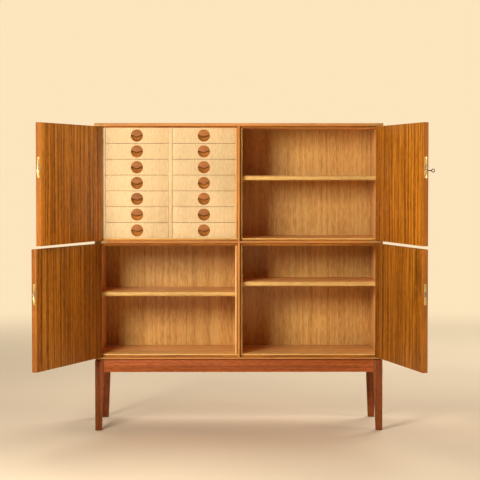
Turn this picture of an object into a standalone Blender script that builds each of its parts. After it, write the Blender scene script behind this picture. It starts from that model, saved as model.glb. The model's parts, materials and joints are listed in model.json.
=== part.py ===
"""Highboard: a cabinet with four doors, fourteen small drawers and three shelves, on a separate stand.

Metres, +Z up. X runs across the front and Y from the front to the back. The origin is on the floor, below
the middle of the case's front plane. The doors stand open, the drawers are shut and the bolts are drawn in.
"""

import math

import bmesh
import bpy
from mathutils import Matrix, Vector

# Overall sizes
CASE_WIDTH = 1.200
CASE_DEPTH = 0.420
CASE_HEIGHT = 0.983
STAND_HEIGHT = 0.2945
SHADOW_GAP = 0.0045
CLEAR = 0.0003

# Case boards
SIDE_THICK = 0.020
TOP_THICK = 0.018
BOTTOM_THICK = 0.020
MIDDLE_THICK = 0.030
DIVIDER_THICK = 0.029
BACK_THICK = 0.008
BACK_INSET = 0.027
BOARD_ARRIS = 0.0008

# Front frame: proud beads between and around the doors
BEAD_TOP = 0.012
BEAD_BOTTOM = 0.007
BEAD_MIDDLE = 0.009
BEAD_SIDE = 0.008
BEAD_CENTRE = 0.009
BEAD_ROUND = 0.0015

# Doors, and the angle each one stands open at
DOOR_THICK = 0.021
DOOR_HINGE_GAP = 0.001
DOOR_FREE_GAP = 0.0015
DOOR_END_GAP = 0.0018
DOOR_ARRIS = 0.0006
SWING_GAP = 0.0007
OPEN_UPPER_LEFT = 109.0
OPEN_LOWER_LEFT = 111.0
OPEN_UPPER_RIGHT = 103.0
OPEN_LOWER_RIGHT = 103.0

# Pivot hinges: a leaf let into the bead, and a pin that enters the door's end
PIN_INSET_X = 0.0035
PIN_INSET_Y = 0.0025
PIN_RADIUS = 0.0014
PIN_REACH = 0.010
COLLAR_RADIUS = 0.0023
LEAF_THICK = 0.002
LEAF_LENGTH = 0.040
LEAF_WIDTH = 0.011
LEAF_SETBACK = 0.0006
LEAF_END = 0.0035

# Locks, let into the doors' free edges
LOCK_DROP = 0.1725
PLATE_HEIGHT = 0.081
PLATE_WIDTH = 0.010
PLATE_THICK = 0.0015
LOCK_HEIGHT = 0.062
LOCK_WIDTH = 0.009
LOCK_DEPTH = 0.030
BOLT_HEIGHT = 0.020
BOLT_THICK = 0.006
BOLT_LENGTH = 0.028
BOLT_THROW = 0.0045
STRIKE_DEPTH = 0.0036
STRIKE_PLAY = 0.001
KEY_BACKSET = 0.015
KEY_DROP = 0.012
KEY_RADIUS = 0.0022
KEY_REACH = 0.032
KEY_BIT_REACH = 0.003
KEY_BIT_THICK = 0.002
KEY_PLAY = 0.0006
BOW_RADIUS = 0.0095
BOW_HOLE = 0.0052
BOW_THICK = 0.0026

# Drawers in two columns
DRAWER_ROWS = 7
SPACER_THICK = 0.0243
PARTITION_THICK = 0.0165
DRAWER_SETBACK = 0.002
DRAWER_SIDE_GAP = 0.0008
DRAWER_ROW_GAP = 0.0012
DRAWER_BACK_GAP = 0.0207
DRAWER_FRONT = 0.018
DRAWER_SIDE = 0.010
DRAWER_BACK = 0.009
DRAWER_FLOOR = 0.004
DRAWER_FLOOR_LIFT = 0.005
DRAWER_SIDE_DROP = 0.006
RUNNER_HEIGHT = 0.010
RUNNER_REACH = 0.006
RUNNER_LIFT = 0.030
RUNNER_PLAY = 0.0008
RUNNER_SETBACK = 0.003
RUNNER_ROOT = 0.004

# Finger pull in each drawer front: a round bowl behind a flat lip
PULL_RADIUS = 0.0245
PULL_DEPTH = 0.0145
PULL_RIM = 0.001
PULL_LIP = 0.005
PULL_WAVE_LOW = -0.0032
PULL_WAVE_HIGH = 0.0040
PULL_STEPS = 20
PULL_RINGS = 4

# Shelves on pegs
SHELF_THICK = 0.0195
SHELF_SETBACK = 0.028
SHELF_BACK_GAP = 0.0227
SHELF_SIDE_GAP = 0.001
SHELF_NOSE = 0.007
SHELF_UPPER_RIGHT = 0.242
SHELF_LOWER_LEFT = 0.2393
SHELF_LOWER_RIGHT = 0.2815
PEG_RADIUS = 0.003
PEG_LENGTH = 0.009
PEG_INSET = 0.050
PEG_ROOT = 0.005
ROUND_STEPS = 12

# Stand
LEG_TOP = 0.037
LEG_FOOT = 0.027
LEG_ROUND = 0.004
RAIL_HEIGHT = 0.049
RAIL_THICK = 0.020
RAIL_FILLET = 0.008
SHADOW_DEPTH = 0.010

# Places worked out from the sizes above
HALF_WIDTH = CASE_WIDTH / 2
CASE_BOTTOM = STAND_HEIGHT + SHADOW_GAP
CASE_TOP = CASE_BOTTOM + CASE_HEIGHT
INNER_X = HALF_WIDTH - SIDE_THICK
FLOOR_Z = CASE_BOTTOM + BOTTOM_THICK
CEILING_Z = CASE_TOP - TOP_THICK
BACK_FRONT_Y = CASE_DEPTH - BACK_INSET - BACK_THICK

WINDOW_HEIGHT = (CASE_HEIGHT - BEAD_TOP - BEAD_BOTTOM - BEAD_MIDDLE) / 2
LOWER_WINDOW_Z = CASE_BOTTOM + BEAD_BOTTOM
UPPER_WINDOW_Z = LOWER_WINDOW_Z + WINDOW_HEIGHT + BEAD_MIDDLE
MIDDLE_Z = UPPER_WINDOW_Z - BEAD_MIDDLE / 2
MIDDLE_LOW_Z = MIDDLE_Z - MIDDLE_THICK / 2
MIDDLE_HIGH_Z = MIDDLE_Z + MIDDLE_THICK / 2
WINDOW_OUTER_X = HALF_WIDTH - BEAD_SIDE
WINDOW_INNER_X = BEAD_CENTRE / 2

PIVOT_X = WINDOW_OUTER_X - DOOR_HINGE_GAP - PIN_INSET_X
PIVOT_Y = PIN_INSET_Y
SWING_RADIUS = math.hypot(PIN_INSET_X, DOOR_THICK - PIN_INSET_Y)
BEAD_DEPTH = PIVOT_Y + SWING_RADIUS + SWING_GAP
BOARD_FRONT_Y = BEAD_DEPTH + CLEAR
DOOR_WIDTH = WINDOW_OUTER_X - WINDOW_INNER_X - DOOR_HINGE_GAP - DOOR_FREE_GAP
DOOR_HEIGHT = WINDOW_HEIGHT - 2 * DOOR_END_GAP
DOOR_FREE = DOOR_WIDTH - PIN_INSET_X
DOOR_MID_Y = DOOR_THICK / 2 - PIN_INSET_Y

BAY_LOW_X = -INNER_X
BAY_HIGH_X = -DIVIDER_THICK / 2
COLUMN_WIDTH = (BAY_HIGH_X - BAY_LOW_X - SPACER_THICK - PARTITION_THICK) / 2
LEFT_COLUMN_X = BAY_LOW_X + SPACER_THICK
RIGHT_COLUMN_X = LEFT_COLUMN_X + COLUMN_WIDTH + PARTITION_THICK
ROW_PITCH = (CEILING_Z - MIDDLE_HIGH_Z) / DRAWER_ROWS
DRAWER_Y = BOARD_FRONT_Y + DRAWER_SETBACK
DRAWER_WIDTH = COLUMN_WIDTH - 2 * DRAWER_SIDE_GAP
DRAWER_HEIGHT = ROW_PITCH - DRAWER_ROW_GAP
DRAWER_LENGTH = BACK_FRONT_Y - DRAWER_Y - DRAWER_BACK_GAP

SHELF_Y = BOARD_FRONT_Y + SHELF_SETBACK
SHELF_DEPTH = BACK_FRONT_Y - SHELF_BACK_GAP - SHELF_Y
MITRE_GAP = CLEAR / math.sqrt(2)

# Doors: name, side (-1 left, 1 right), bottom of its window, opening angle
DOORS = (
    ("upper_left", -1, UPPER_WINDOW_Z, OPEN_UPPER_LEFT),
    ("upper_right", 1, UPPER_WINDOW_Z, OPEN_UPPER_RIGHT),
    ("lower_left", -1, LOWER_WINDOW_Z, OPEN_LOWER_LEFT),
    ("lower_right", 1, LOWER_WINDOW_Z, OPEN_LOWER_RIGHT),
)

# Shelves: name, side, underside
SHELVES = (
    ("upper_right", 1, MIDDLE_HIGH_Z + SHELF_UPPER_RIGHT),
    ("lower_left", -1, FLOOR_Z + SHELF_LOWER_LEFT),
    ("lower_right", 1, FLOOR_Z + SHELF_LOWER_RIGHT),
)


def clear_scene():
    """Remove every object of the scene."""
    for item in list(bpy.data.objects):
        bpy.data.objects.remove(item, do_unlink=True)


def finish(name, colour, roughness, metallic=0.0):
    """A Principled material with one colour."""
    made = bpy.data.materials.new(name)
    made.use_nodes = True
    shader = made.node_tree.nodes["Principled BSDF"]
    shader.inputs["Base Color"].default_value = (*colour, 1.0)
    shader.inputs["Roughness"].default_value = roughness
    shader.inputs["Metallic"].default_value = metallic
    made.diffuse_color = (*colour, 1.0)
    return made


def add_box(mesh, low, high):
    """Add a box between two corners, given in any order."""
    low, high = Vector(low), Vector(high)
    size = Matrix.Diagonal([abs(a - b) for a, b in zip(low, high)]).to_4x4()
    bmesh.ops.create_cube(mesh, size=1.0, matrix=Matrix.Translation((low + high) / 2) @ size)


def add_prism(mesh, outline, axis, start, end):
    """Add a prism with this outline, drawn on the plane across the axis, from start to end along it."""
    place = {
        "X": lambda u, v, w: (w, u, v),
        "Y": lambda u, v, w: (u, w, v),
        "Z": lambda u, v, w: (u, v, w),
    }[axis]
    ring = [mesh.verts.new(place(u, v, start)) for u, v in outline]
    face = mesh.faces.new(ring)
    grown = bmesh.ops.extrude_face_region(mesh, geom=[face])
    moved = [v for v in grown["geom"] if isinstance(v, bmesh.types.BMVert)]
    bmesh.ops.translate(mesh, verts=moved, vec=Vector(place(0, 0, end)) - Vector(place(0, 0, start)))


def add_cylinder(mesh, centre, radius, axis, start, end, steps):
    """Add a cylinder round an axis through centre (the two coordinates across it)."""
    turn = [2 * math.pi * (n + 0.5) / steps for n in range(steps)]
    outline = [(centre[0] + radius * math.cos(t), centre[1] + radius * math.sin(t)) for t in turn]
    add_prism(mesh, outline, axis, start, end)


def make(name, mesh, look, parent=None):
    """Turn a bmesh into a named object with its faces pointing out."""
    bmesh.ops.recalc_face_normals(mesh, faces=mesh.faces)
    data = bpy.data.meshes.new(name)
    mesh.to_mesh(data)
    mesh.free()
    if look:
        data.materials.append(look)
    item = bpy.data.objects.new(name, data)
    item.parent = parent
    bpy.context.collection.objects.link(item)
    return item


def combine(item, mesh, operation):
    """Cut a bmesh out of an object, or unite the two, with a Boolean modifier on a hidden tool object."""
    tool = make(f"{item.name}_tool", mesh, None, item.parent)
    tool.location = item.location
    tool.hide_render = True
    tool.display_type = "WIRE"
    change = item.modifiers.new(operation.title(), "BOOLEAN")
    change.operation = operation
    change.solver = "EXACT"
    change.object = tool


def soften(item, width, segments=1):
    """Break an object's sharp edges."""
    bevel = item.modifiers.new("Arris", "BEVEL")
    bevel.width = width
    bevel.segments = segments
    bevel.limit_method = "ANGLE"
    bevel.angle_limit = math.radians(40)


def make_board(name, look, low, high):
    """A plain board with broken edges."""
    mesh = bmesh.new()
    add_box(mesh, low, high)
    board = make(name, mesh, look)
    soften(board, BOARD_ARRIS)
    return board


def make_mitred_board(name, look, outline):
    """A board of the case's shell, given by its outline on the front plane, with mitred ends."""
    mesh = bmesh.new()
    add_prism(mesh, outline, "Y", BOARD_FRONT_Y, CASE_DEPTH)
    board = make(name, mesh, look)
    soften(board, BOARD_ARRIS)
    return board


def shelf_pegs(places):
    """Two pegs for each shelf end, given by the shelf's underside, its wall and the way the pegs point."""
    mesh = bmesh.new()
    for underside, wall_x, way in places:
        for y in (SHELF_Y + PEG_INSET, SHELF_Y + SHELF_DEPTH - PEG_INSET):
            centre = (y, underside - CLEAR - PEG_RADIUS)
            start, end = wall_x - way * PEG_ROOT, wall_x + way * PEG_LENGTH
            add_cylinder(mesh, centre, PEG_RADIUS, "X", start, end, ROUND_STEPS)
    return mesh


def runner_ribs(wall_x, way):
    """The drawer runners on one face of a board, one for each row."""
    mesh = bmesh.new()
    for row in range(DRAWER_ROWS):
        low_z = drawer_z(row) + RUNNER_LIFT
        start_y = DRAWER_Y + DRAWER_FRONT + RUNNER_SETBACK
        end_y = DRAWER_Y + DRAWER_LENGTH
        low = (wall_x - way * RUNNER_ROOT, start_y, low_z)
        high = (wall_x + way * RUNNER_REACH, end_y, low_z + RUNNER_HEIGHT)
        add_box(mesh, low, high)
    return mesh


def drawer_z(row):
    """The underside of a drawer, counting rows from the top."""
    return CEILING_Z - (row + 1) * ROW_PITCH + DRAWER_ROW_GAP / 2


def build_case(teak, oak):
    """The shell, the middle panel, the dividers, the back and the drawers' runner boards."""
    outer, inner = HALF_WIDTH, INNER_X
    for name, sign in (("side_left", -1), ("side_right", 1)):
        outline = [
            (sign * outer, CASE_BOTTOM + MITRE_GAP),
            (sign * inner, FLOOR_Z + MITRE_GAP),
            (sign * inner, CEILING_Z - MITRE_GAP),
            (sign * outer, CASE_TOP - MITRE_GAP),
        ]
        panel = make_mitred_board(name, teak, outline)
        pegs = [(underside, sign * inner, -sign) for _, side, underside in SHELVES if side == sign]
        combine(panel, shelf_pegs(pegs), "UNION")
    outer, inner = HALF_WIDTH - MITRE_GAP, INNER_X - MITRE_GAP
    top = [(-outer, CASE_TOP), (outer, CASE_TOP), (inner, CEILING_Z), (-inner, CEILING_Z)]
    make_mitred_board("top_panel", teak, top)
    bottom = [(-outer, CASE_BOTTOM), (outer, CASE_BOTTOM), (inner, FLOOR_Z), (-inner, FLOOR_Z)]
    make_mitred_board("bottom_panel", teak, bottom)

    width, depth = INNER_X - CLEAR, BACK_FRONT_Y - CLEAR
    low, high = (-width, BOARD_FRONT_Y, MIDDLE_LOW_Z), (width, depth, MIDDLE_HIGH_Z)
    make_board("middle_panel", oak, low, high)
    low, high = (-width, BACK_FRONT_Y, FLOOR_Z + CLEAR), (width, BACK_FRONT_Y + BACK_THICK, CEILING_Z - CLEAR)
    make_board("back_panel", oak, low, high)

    half = DIVIDER_THICK / 2
    upper_z = (MIDDLE_HIGH_Z + CLEAR, CEILING_Z - CLEAR)
    lower_z = (FLOOR_Z + CLEAR, MIDDLE_LOW_Z - CLEAR)
    upper = make_board("divider_upper", oak, (-half, BOARD_FRONT_Y, upper_z[0]), (half, depth, upper_z[1]))
    lower = make_board("divider_lower", oak, (-half, BOARD_FRONT_Y, lower_z[0]), (half, depth, lower_z[1]))
    pegs = {"upper": [], "lower": []}
    for name, side, underside in SHELVES:
        pegs[name.split("_")[0]].append((underside, side * half, side))
    combine(upper, shelf_pegs(pegs["upper"]), "UNION")
    combine(lower, shelf_pegs(pegs["lower"]), "UNION")
    combine(upper, runner_ribs(-half, -1), "UNION")

    low_x = BAY_LOW_X + CLEAR
    low, high = (low_x, BOARD_FRONT_Y, upper_z[0]), (LEFT_COLUMN_X, depth, upper_z[1])
    spacer = make_board("drawer_spacer", oak, low, high)
    combine(spacer, runner_ribs(LEFT_COLUMN_X, 1), "UNION")
    left_x, right_x = LEFT_COLUMN_X + COLUMN_WIDTH, RIGHT_COLUMN_X
    low, high = (left_x, BOARD_FRONT_Y, upper_z[0]), (right_x, depth, upper_z[1])
    partition = make_board("drawer_partition", oak, low, high)
    combine(partition, runner_ribs(left_x, -1), "UNION")
    combine(partition, runner_ribs(right_x, 1), "UNION")


def build_front_frame(teak):
    """The proud beads: one grid with four windows, rounded along its front edges and mitred where it meets."""
    xs = (-HALF_WIDTH, -WINDOW_OUTER_X, -WINDOW_INNER_X, WINDOW_INNER_X, WINDOW_OUTER_X, HALF_WIDTH)
    zs = (
        CASE_BOTTOM,
        LOWER_WINDOW_Z,
        LOWER_WINDOW_Z + WINDOW_HEIGHT,
        UPPER_WINDOW_Z,
        UPPER_WINDOW_Z + WINDOW_HEIGHT,
        CASE_TOP,
    )
    mesh = bmesh.new()
    grid = [[mesh.verts.new((x, 0.0, z)) for z in zs] for x in xs]
    for i in range(len(xs) - 1):
        for j in range(len(zs) - 1):
            if i % 2 and j % 2:
                continue
            mesh.faces.new((grid[i][j], grid[i + 1][j], grid[i + 1][j + 1], grid[i][j + 1]))
    border = [edge for edge in mesh.edges if edge.is_boundary]
    front = list(mesh.faces)
    grown = bmesh.ops.extrude_face_region(mesh, geom=front, use_keep_orig=True)
    moved = [v for v in grown["geom"] if isinstance(v, bmesh.types.BMVert)]
    bmesh.ops.translate(mesh, verts=moved, vec=(0.0, BEAD_DEPTH, 0.0))
    bmesh.ops.bevel(mesh, geom=border, offset=BEAD_ROUND, segments=2, profile=0.5, affect="EDGES")
    frame = make("front_frame", mesh, teak)

    pockets = bmesh.new()
    for _, side, window_z, _ in DOORS:
        for level, sign in ((window_z, -1), (window_z + WINDOW_HEIGHT, 1)):
            low_x, high_x = side * (PIVOT_X - LEAF_LENGTH - CLEAR), side * (PIVOT_X + LEAF_END + CLEAR)
            low = (low_x, -BEAD_ROUND, level - sign * CLEAR)
            high = (high_x, LEAF_SETBACK + LEAF_WIDTH + CLEAR, level + sign * (LEAF_THICK + CLEAR))
            add_box(pockets, low, high)
        centre_z = window_z + DOOR_END_GAP + DOOR_HEIGHT - LOCK_DROP
        half_z, half_y = BOLT_HEIGHT / 2 + STRIKE_PLAY, BOLT_THICK / 2 + STRIKE_PLAY
        mid_y = PIVOT_Y + DOOR_MID_Y
        low = (side * (WINDOW_INNER_X - STRIKE_DEPTH), mid_y - half_y, centre_z - half_z)
        high = (side * (WINDOW_INNER_X + CLEAR), mid_y + half_y, centre_z + half_z)
        add_box(pockets, low, high)
    combine(frame, pockets, "DIFFERENCE")


def build_stand(mahogany):
    """Four legs tapered on their inner faces, four rails with rounded corners, and the shadow gap on top."""
    top = CASE_BOTTOM - CLEAR
    rail_low = STAND_HEIGHT - RAIL_HEIGHT
    for name, side, end_y, inward in (
        ("leg_front_left", -1, 0.0, 1),
        ("leg_front_right", 1, 0.0, 1),
        ("leg_rear_left", -1, CASE_DEPTH, -1),
        ("leg_rear_right", 1, CASE_DEPTH, -1),
    ):
        mesh = bmesh.new()
        rings = []
        for z, width in ((0.0, LEG_FOOT), (rail_low, LEG_TOP), (top, LEG_TOP)):
            corners = [(side * (HALF_WIDTH - u), end_y + inward * v) for u, v in leg_section(width)]
            rings.append([mesh.verts.new((x, y, z)) for x, y in corners])
        mesh.faces.new(rings[0])
        mesh.faces.new(rings[-1])
        for lower, upper in zip(rings, rings[1:]):
            for n in range(len(lower)):
                mesh.faces.new((lower[n], lower[n - 1], upper[n - 1], upper[n]))
        leg = make(name, mesh, mahogany)
        combine(leg, shadow_ring(), "DIFFERENCE")

    long_half = HALF_WIDTH - LEG_TOP - CLEAR
    for name, near_y in (("rail_front", 0.0), ("rail_rear", CASE_DEPTH - RAIL_THICK)):
        mesh = bmesh.new()
        add_prism(mesh, rail_outline(-long_half, long_half, rail_low, top), "Y", near_y, near_y + RAIL_THICK)
        rail = make(name, mesh, mahogany)
        combine(rail, shadow_ring(), "DIFFERENCE")
    start, end = LEG_TOP + CLEAR, CASE_DEPTH - LEG_TOP - CLEAR
    for name, side in (("rail_left", -1), ("rail_right", 1)):
        mesh = bmesh.new()
        near_x, far_x = side * HALF_WIDTH, side * (HALF_WIDTH - RAIL_THICK)
        add_prism(mesh, rail_outline(start, end, rail_low, top), "X", near_x, far_x)
        rail = make(name, mesh, mahogany)
        combine(rail, shadow_ring(), "DIFFERENCE")


def leg_section(width):
    """A leg's section, measured inwards from its outer corner, which is rounded."""
    steps = 3
    turns = [math.radians(90 * n / steps) for n in range(steps + 1)]
    arc = [(LEG_ROUND - LEG_ROUND * math.cos(t), LEG_ROUND - LEG_ROUND * math.sin(t)) for t in turns]
    return [*arc, (width, 0.0), (width, width), (0.0, width)]


def rail_outline(start, end, low, high):
    """A rail's outline, with a quarter round that runs down into the leg at each end."""
    steps = 4
    turns = [math.radians(90 * n / steps) for n in range(steps + 1)]
    radius = RAIL_FILLET
    left = [(start + radius - radius * math.cos(t), low - radius + radius * math.sin(t)) for t in turns]
    right = [(end - radius + radius * math.cos(t), low - radius + radius * math.sin(t)) for t in turns]
    return [(start, high), *left, *reversed(right), (end, high)]


def shadow_ring():
    """The rebate round the stand's top edge, that keeps the case off it by a dark line."""
    mesh = bmesh.new()
    beyond = SHADOW_DEPTH
    x, y = HALF_WIDTH, CASE_DEPTH
    outer = [(-x - beyond, -beyond), (x + beyond, -beyond), (x + beyond, y + beyond), (-x - beyond, y + beyond)]
    inner = [
        (-x + SHADOW_DEPTH, SHADOW_DEPTH),
        (x - SHADOW_DEPTH, SHADOW_DEPTH),
        (x - SHADOW_DEPTH, y - SHADOW_DEPTH),
        (-x + SHADOW_DEPTH, y - SHADOW_DEPTH),
    ]
    levels = (STAND_HEIGHT, CASE_BOTTOM + SHADOW_GAP)
    rings = [[mesh.verts.new((*point, z)) for point in ring] for z in levels for ring in (outer, inner)]
    low_outer, low_inner, high_outer, high_inner = rings
    for n in range(4):
        mesh.faces.new((low_outer[n - 1], low_outer[n], low_inner[n], low_inner[n - 1]))
        mesh.faces.new((high_outer[n - 1], high_outer[n], high_inner[n], high_inner[n - 1]))
        mesh.faces.new((low_outer[n - 1], low_outer[n], high_outer[n], high_outer[n - 1]))
        mesh.faces.new((low_inner[n - 1], low_inner[n], high_inner[n], high_inner[n - 1]))
    return mesh


def build_shelves(oak):
    """Three loose shelves with a rounded front edge, each resting on four pegs."""
    steps = 4
    turns = [math.radians(90 * n / steps) for n in range(steps + 1)]
    nose, thick = SHELF_NOSE, SHELF_THICK
    for name, side, underside in SHELVES:
        low = [(nose - nose * math.cos(t), nose - nose * math.sin(t)) for t in turns]
        high = [(nose - nose * math.cos(t), thick - nose + nose * math.sin(t)) for t in turns]
        section = [*reversed(low), *high, (SHELF_DEPTH, thick), (SHELF_DEPTH, 0.0)]
        outline = [(SHELF_Y + y, underside + z) for y, z in section]
        near, far = DIVIDER_THICK / 2 + SHELF_SIDE_GAP, INNER_X - SHELF_SIDE_GAP
        mesh = bmesh.new()
        add_prism(mesh, outline, "X", side * near, side * far)
        make(f"shelf_{name}", mesh, oak)


def pull_cutter():
    """The hollow of a finger pull: a shallow round bowl, kept back from the lip over its upper half."""
    rim_y = -PULL_LIP
    hollow = PULL_DEPTH - PULL_RIM
    ball = (PULL_RADIUS**2 + hollow**2) / (2 * hollow)
    half_turn = math.asin(PULL_RADIUS / ball)
    mesh = bmesh.new()
    profile = [(0.0, rim_y), (PULL_RADIUS, rim_y)]
    for n in range(PULL_RINGS):
        turn = half_turn * (1 - n / PULL_RINGS)
        profile.append((ball * math.sin(turn), PULL_DEPTH - ball + ball * math.cos(turn)))
    profile.append((0.0, PULL_DEPTH))
    points = [mesh.verts.new((r, y, 0.0)) for r, y in profile]
    edges = [mesh.edges.new(pair) for pair in zip(points, points[1:])]
    bmesh.ops.spin(
        mesh,
        geom=points + edges,
        cent=(0, 0, 0),
        axis=(0, 1, 0),
        angle=2 * math.pi,
        steps=PULL_STEPS,
        use_merge=True,
    )
    bmesh.ops.remove_doubles(mesh, verts=mesh.verts, dist=0.00001)
    return mesh


def pull_lip():
    """The lip's solid: everything above a shallow wave, as thick as the lip."""
    steps = 8
    reach = PULL_RADIUS + PULL_LIP
    wave = []
    for n in range(steps + 1):
        share = 2 * n / steps - 1
        x = share * PULL_RADIUS
        wave.append((x, PULL_WAVE_LOW + (PULL_WAVE_HIGH - PULL_WAVE_LOW) * share**2))
    outline = [(-reach, PULL_WAVE_HIGH), *wave, (reach, PULL_WAVE_HIGH), (reach, reach), (-reach, reach)]
    mesh = bmesh.new()
    add_prism(mesh, outline, "Y", -2 * PULL_LIP, PULL_LIP)
    return mesh


def drawer_shape(oak):
    """One drawer's mesh: front with its finger pull, grooved sides, back and raised floor."""
    half, length = DRAWER_WIDTH / 2, DRAWER_LENGTH
    side_top = DRAWER_HEIGHT - DRAWER_SIDE_DROP
    outline = [
        (0.0, 0.0),
        (length, 0.0),
        (length, side_top),
        (DRAWER_FRONT, side_top),
        (DRAWER_FRONT, DRAWER_HEIGHT),
        (0.0, DRAWER_HEIGHT),
    ]
    mesh = bmesh.new()
    add_prism(mesh, outline, "X", -half, half)
    drawer = make("drawer_pattern", mesh, oak)

    hollow = bmesh.new()
    inner = half - DRAWER_SIDE
    floor = DRAWER_FLOOR_LIFT + DRAWER_FLOOR
    add_box(hollow, (-inner, DRAWER_FRONT, floor), (inner, length - DRAWER_BACK, DRAWER_HEIGHT + floor))
    add_box(hollow, (-inner, DRAWER_FRONT, -floor), (inner, length - DRAWER_BACK, DRAWER_FLOOR_LIFT))
    groove = half - (RUNNER_REACH - DRAWER_SIDE_GAP + RUNNER_PLAY)
    low_z, high_z = RUNNER_LIFT - CLEAR, RUNNER_LIFT + RUNNER_HEIGHT + CLEAR
    for sign in (-1, 1):
        low = (sign * groove, DRAWER_FRONT + RUNNER_SETBACK - RUNNER_PLAY, low_z)
        add_box(hollow, low, (sign * (half + groove), length + DRAWER_BACK, high_z))
    combine(drawer, hollow, "DIFFERENCE")

    bowl = make("pull_tool", pull_cutter(), None)
    combine(bowl, pull_lip(), "DIFFERENCE")
    bowl.location.z = DRAWER_HEIGHT / 2
    bpy.data.objects["pull_tool_tool"].location = bowl.location
    cut = drawer.modifiers.new("Pull", "BOOLEAN")
    cut.operation = "DIFFERENCE"
    cut.solver = "EXACT"
    cut.object = bowl
    bpy.context.view_layer.update()
    solved = drawer.evaluated_get(bpy.context.evaluated_depsgraph_get())
    shape = bpy.data.meshes.new_from_object(solved)
    for item in [drawer, bowl, *[bpy.data.objects[f"{n}_tool"] for n in ("drawer_pattern", "pull_tool")]]:
        bpy.data.objects.remove(item, do_unlink=True)
    return shape


def build_drawers(oak):
    """Fourteen equal drawers, seven to a column, numbered from the top."""
    shape = drawer_shape(oak)
    for column, low_x in (("left", LEFT_COLUMN_X), ("right", RIGHT_COLUMN_X)):
        for row in range(DRAWER_ROWS):
            drawer = bpy.data.objects.new(f"drawer_{column}_{row + 1}", shape)
            drawer.location = (low_x + COLUMN_WIDTH / 2, DRAWER_Y, drawer_z(row))
            bpy.context.collection.objects.link(drawer)


def add_keyhole(mesh, x, z, start_y, end_y):
    """A round hole for the key's shank with a slot below it for the bit."""
    radius = KEY_RADIUS + CLEAR
    half = KEY_BIT_THICK / 2 + CLEAR
    low = z - KEY_RADIUS - KEY_BIT_REACH - CLEAR
    side = math.sqrt(radius**2 - half**2)
    turn = math.atan2(-side, half)
    sweep = 2 * math.pi - 2 * (math.pi / 2 + turn)
    steps = 12
    arc = [turn + sweep * n / steps for n in range(steps + 1)]
    outline = [(x + radius * math.cos(t), z + radius * math.sin(t)) for t in arc]
    outline += [(x - half, low), (x + half, low)]
    add_prism(mesh, outline, "Y", start_y, end_y)


def build_door(name, side, window_z, angle, teak, brass, steel):
    """A door with its lock and bolt, under an empty on its pivot, and its two hinges on the case."""
    pivot = bpy.data.objects.new(f"pivot_{name}", None)
    pivot.location = (side * PIVOT_X, PIVOT_Y, window_z + DOOR_END_GAP)
    pivot.rotation_euler.z = side * math.radians(angle)
    bpy.context.collection.objects.link(pivot)

    free, near = -side * DOOR_FREE, side * PIN_INSET_X
    outer_y, inner_y = -PIN_INSET_Y, DOOR_THICK - PIN_INSET_Y
    lock_z = DOOR_HEIGHT - LOCK_DROP
    key_x, key_z = free + side * KEY_BACKSET, lock_z - KEY_DROP
    mesh = bmesh.new()
    add_box(mesh, (near, outer_y, 0.0), (free, inner_y, DOOR_HEIGHT))
    door = make(f"door_{name}", mesh, teak, pivot)
    soften(door, DOOR_ARRIS)

    pocket = bmesh.new()
    back = free + side * (LOCK_DEPTH + CLEAR)
    seat = free + side * (PLATE_THICK + CLEAR)
    add_lock_outline(pocket, side, lock_z, free - side * CLEAR, seat, back, CLEAR)
    combine(door, pocket, "DIFFERENCE")
    keyhole = bmesh.new()
    add_keyhole(keyhole, key_x, key_z, outer_y - CLEAR, DOOR_MID_Y)
    combine(door, keyhole, "DIFFERENCE")
    holes = bmesh.new()
    for low, high in ((-CLEAR, PIN_REACH + CLEAR), (DOOR_HEIGHT - PIN_REACH - CLEAR, DOOR_HEIGHT + CLEAR)):
        add_cylinder(holes, (0.0, 0.0), PIN_RADIUS + CLEAR, "Z", low, high, ROUND_STEPS)
    combine(door, holes, "DIFFERENCE")

    build_lock(name, side, lock_z, key_x, free, pivot, brass)
    build_bolt(name, side, lock_z, key_x, free, pivot, steel)
    if name == "upper_right":
        build_key(key_z, key_x, pivot, steel)
    build_hinge(f"hinge_{name}_bottom", side, window_z, 1, brass)
    build_hinge(f"hinge_{name}_top", side, window_z + WINDOW_HEIGHT, -1, brass)


def add_lock_outline(mesh, side, lock_z, face, seat, back, grow):
    """The T of a lock seen from the door's edge: its plate, and its case behind it, grown on every side."""
    plate_z, plate_y = PLATE_HEIGHT / 2 + grow, PLATE_WIDTH / 2 + grow
    case_z = LOCK_HEIGHT / 2 + grow
    outline = [
        (face, -plate_z),
        (seat, -plate_z),
        (seat, -case_z),
        (back, -case_z),
        (back, case_z),
        (seat, case_z),
        (seat, plate_z),
        (face, plate_z),
    ]
    outline = [(x, lock_z + z) for x, z in outline]
    add_prism(mesh, outline, "Y", DOOR_MID_Y - plate_y, DOOR_MID_Y + plate_y)


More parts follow.
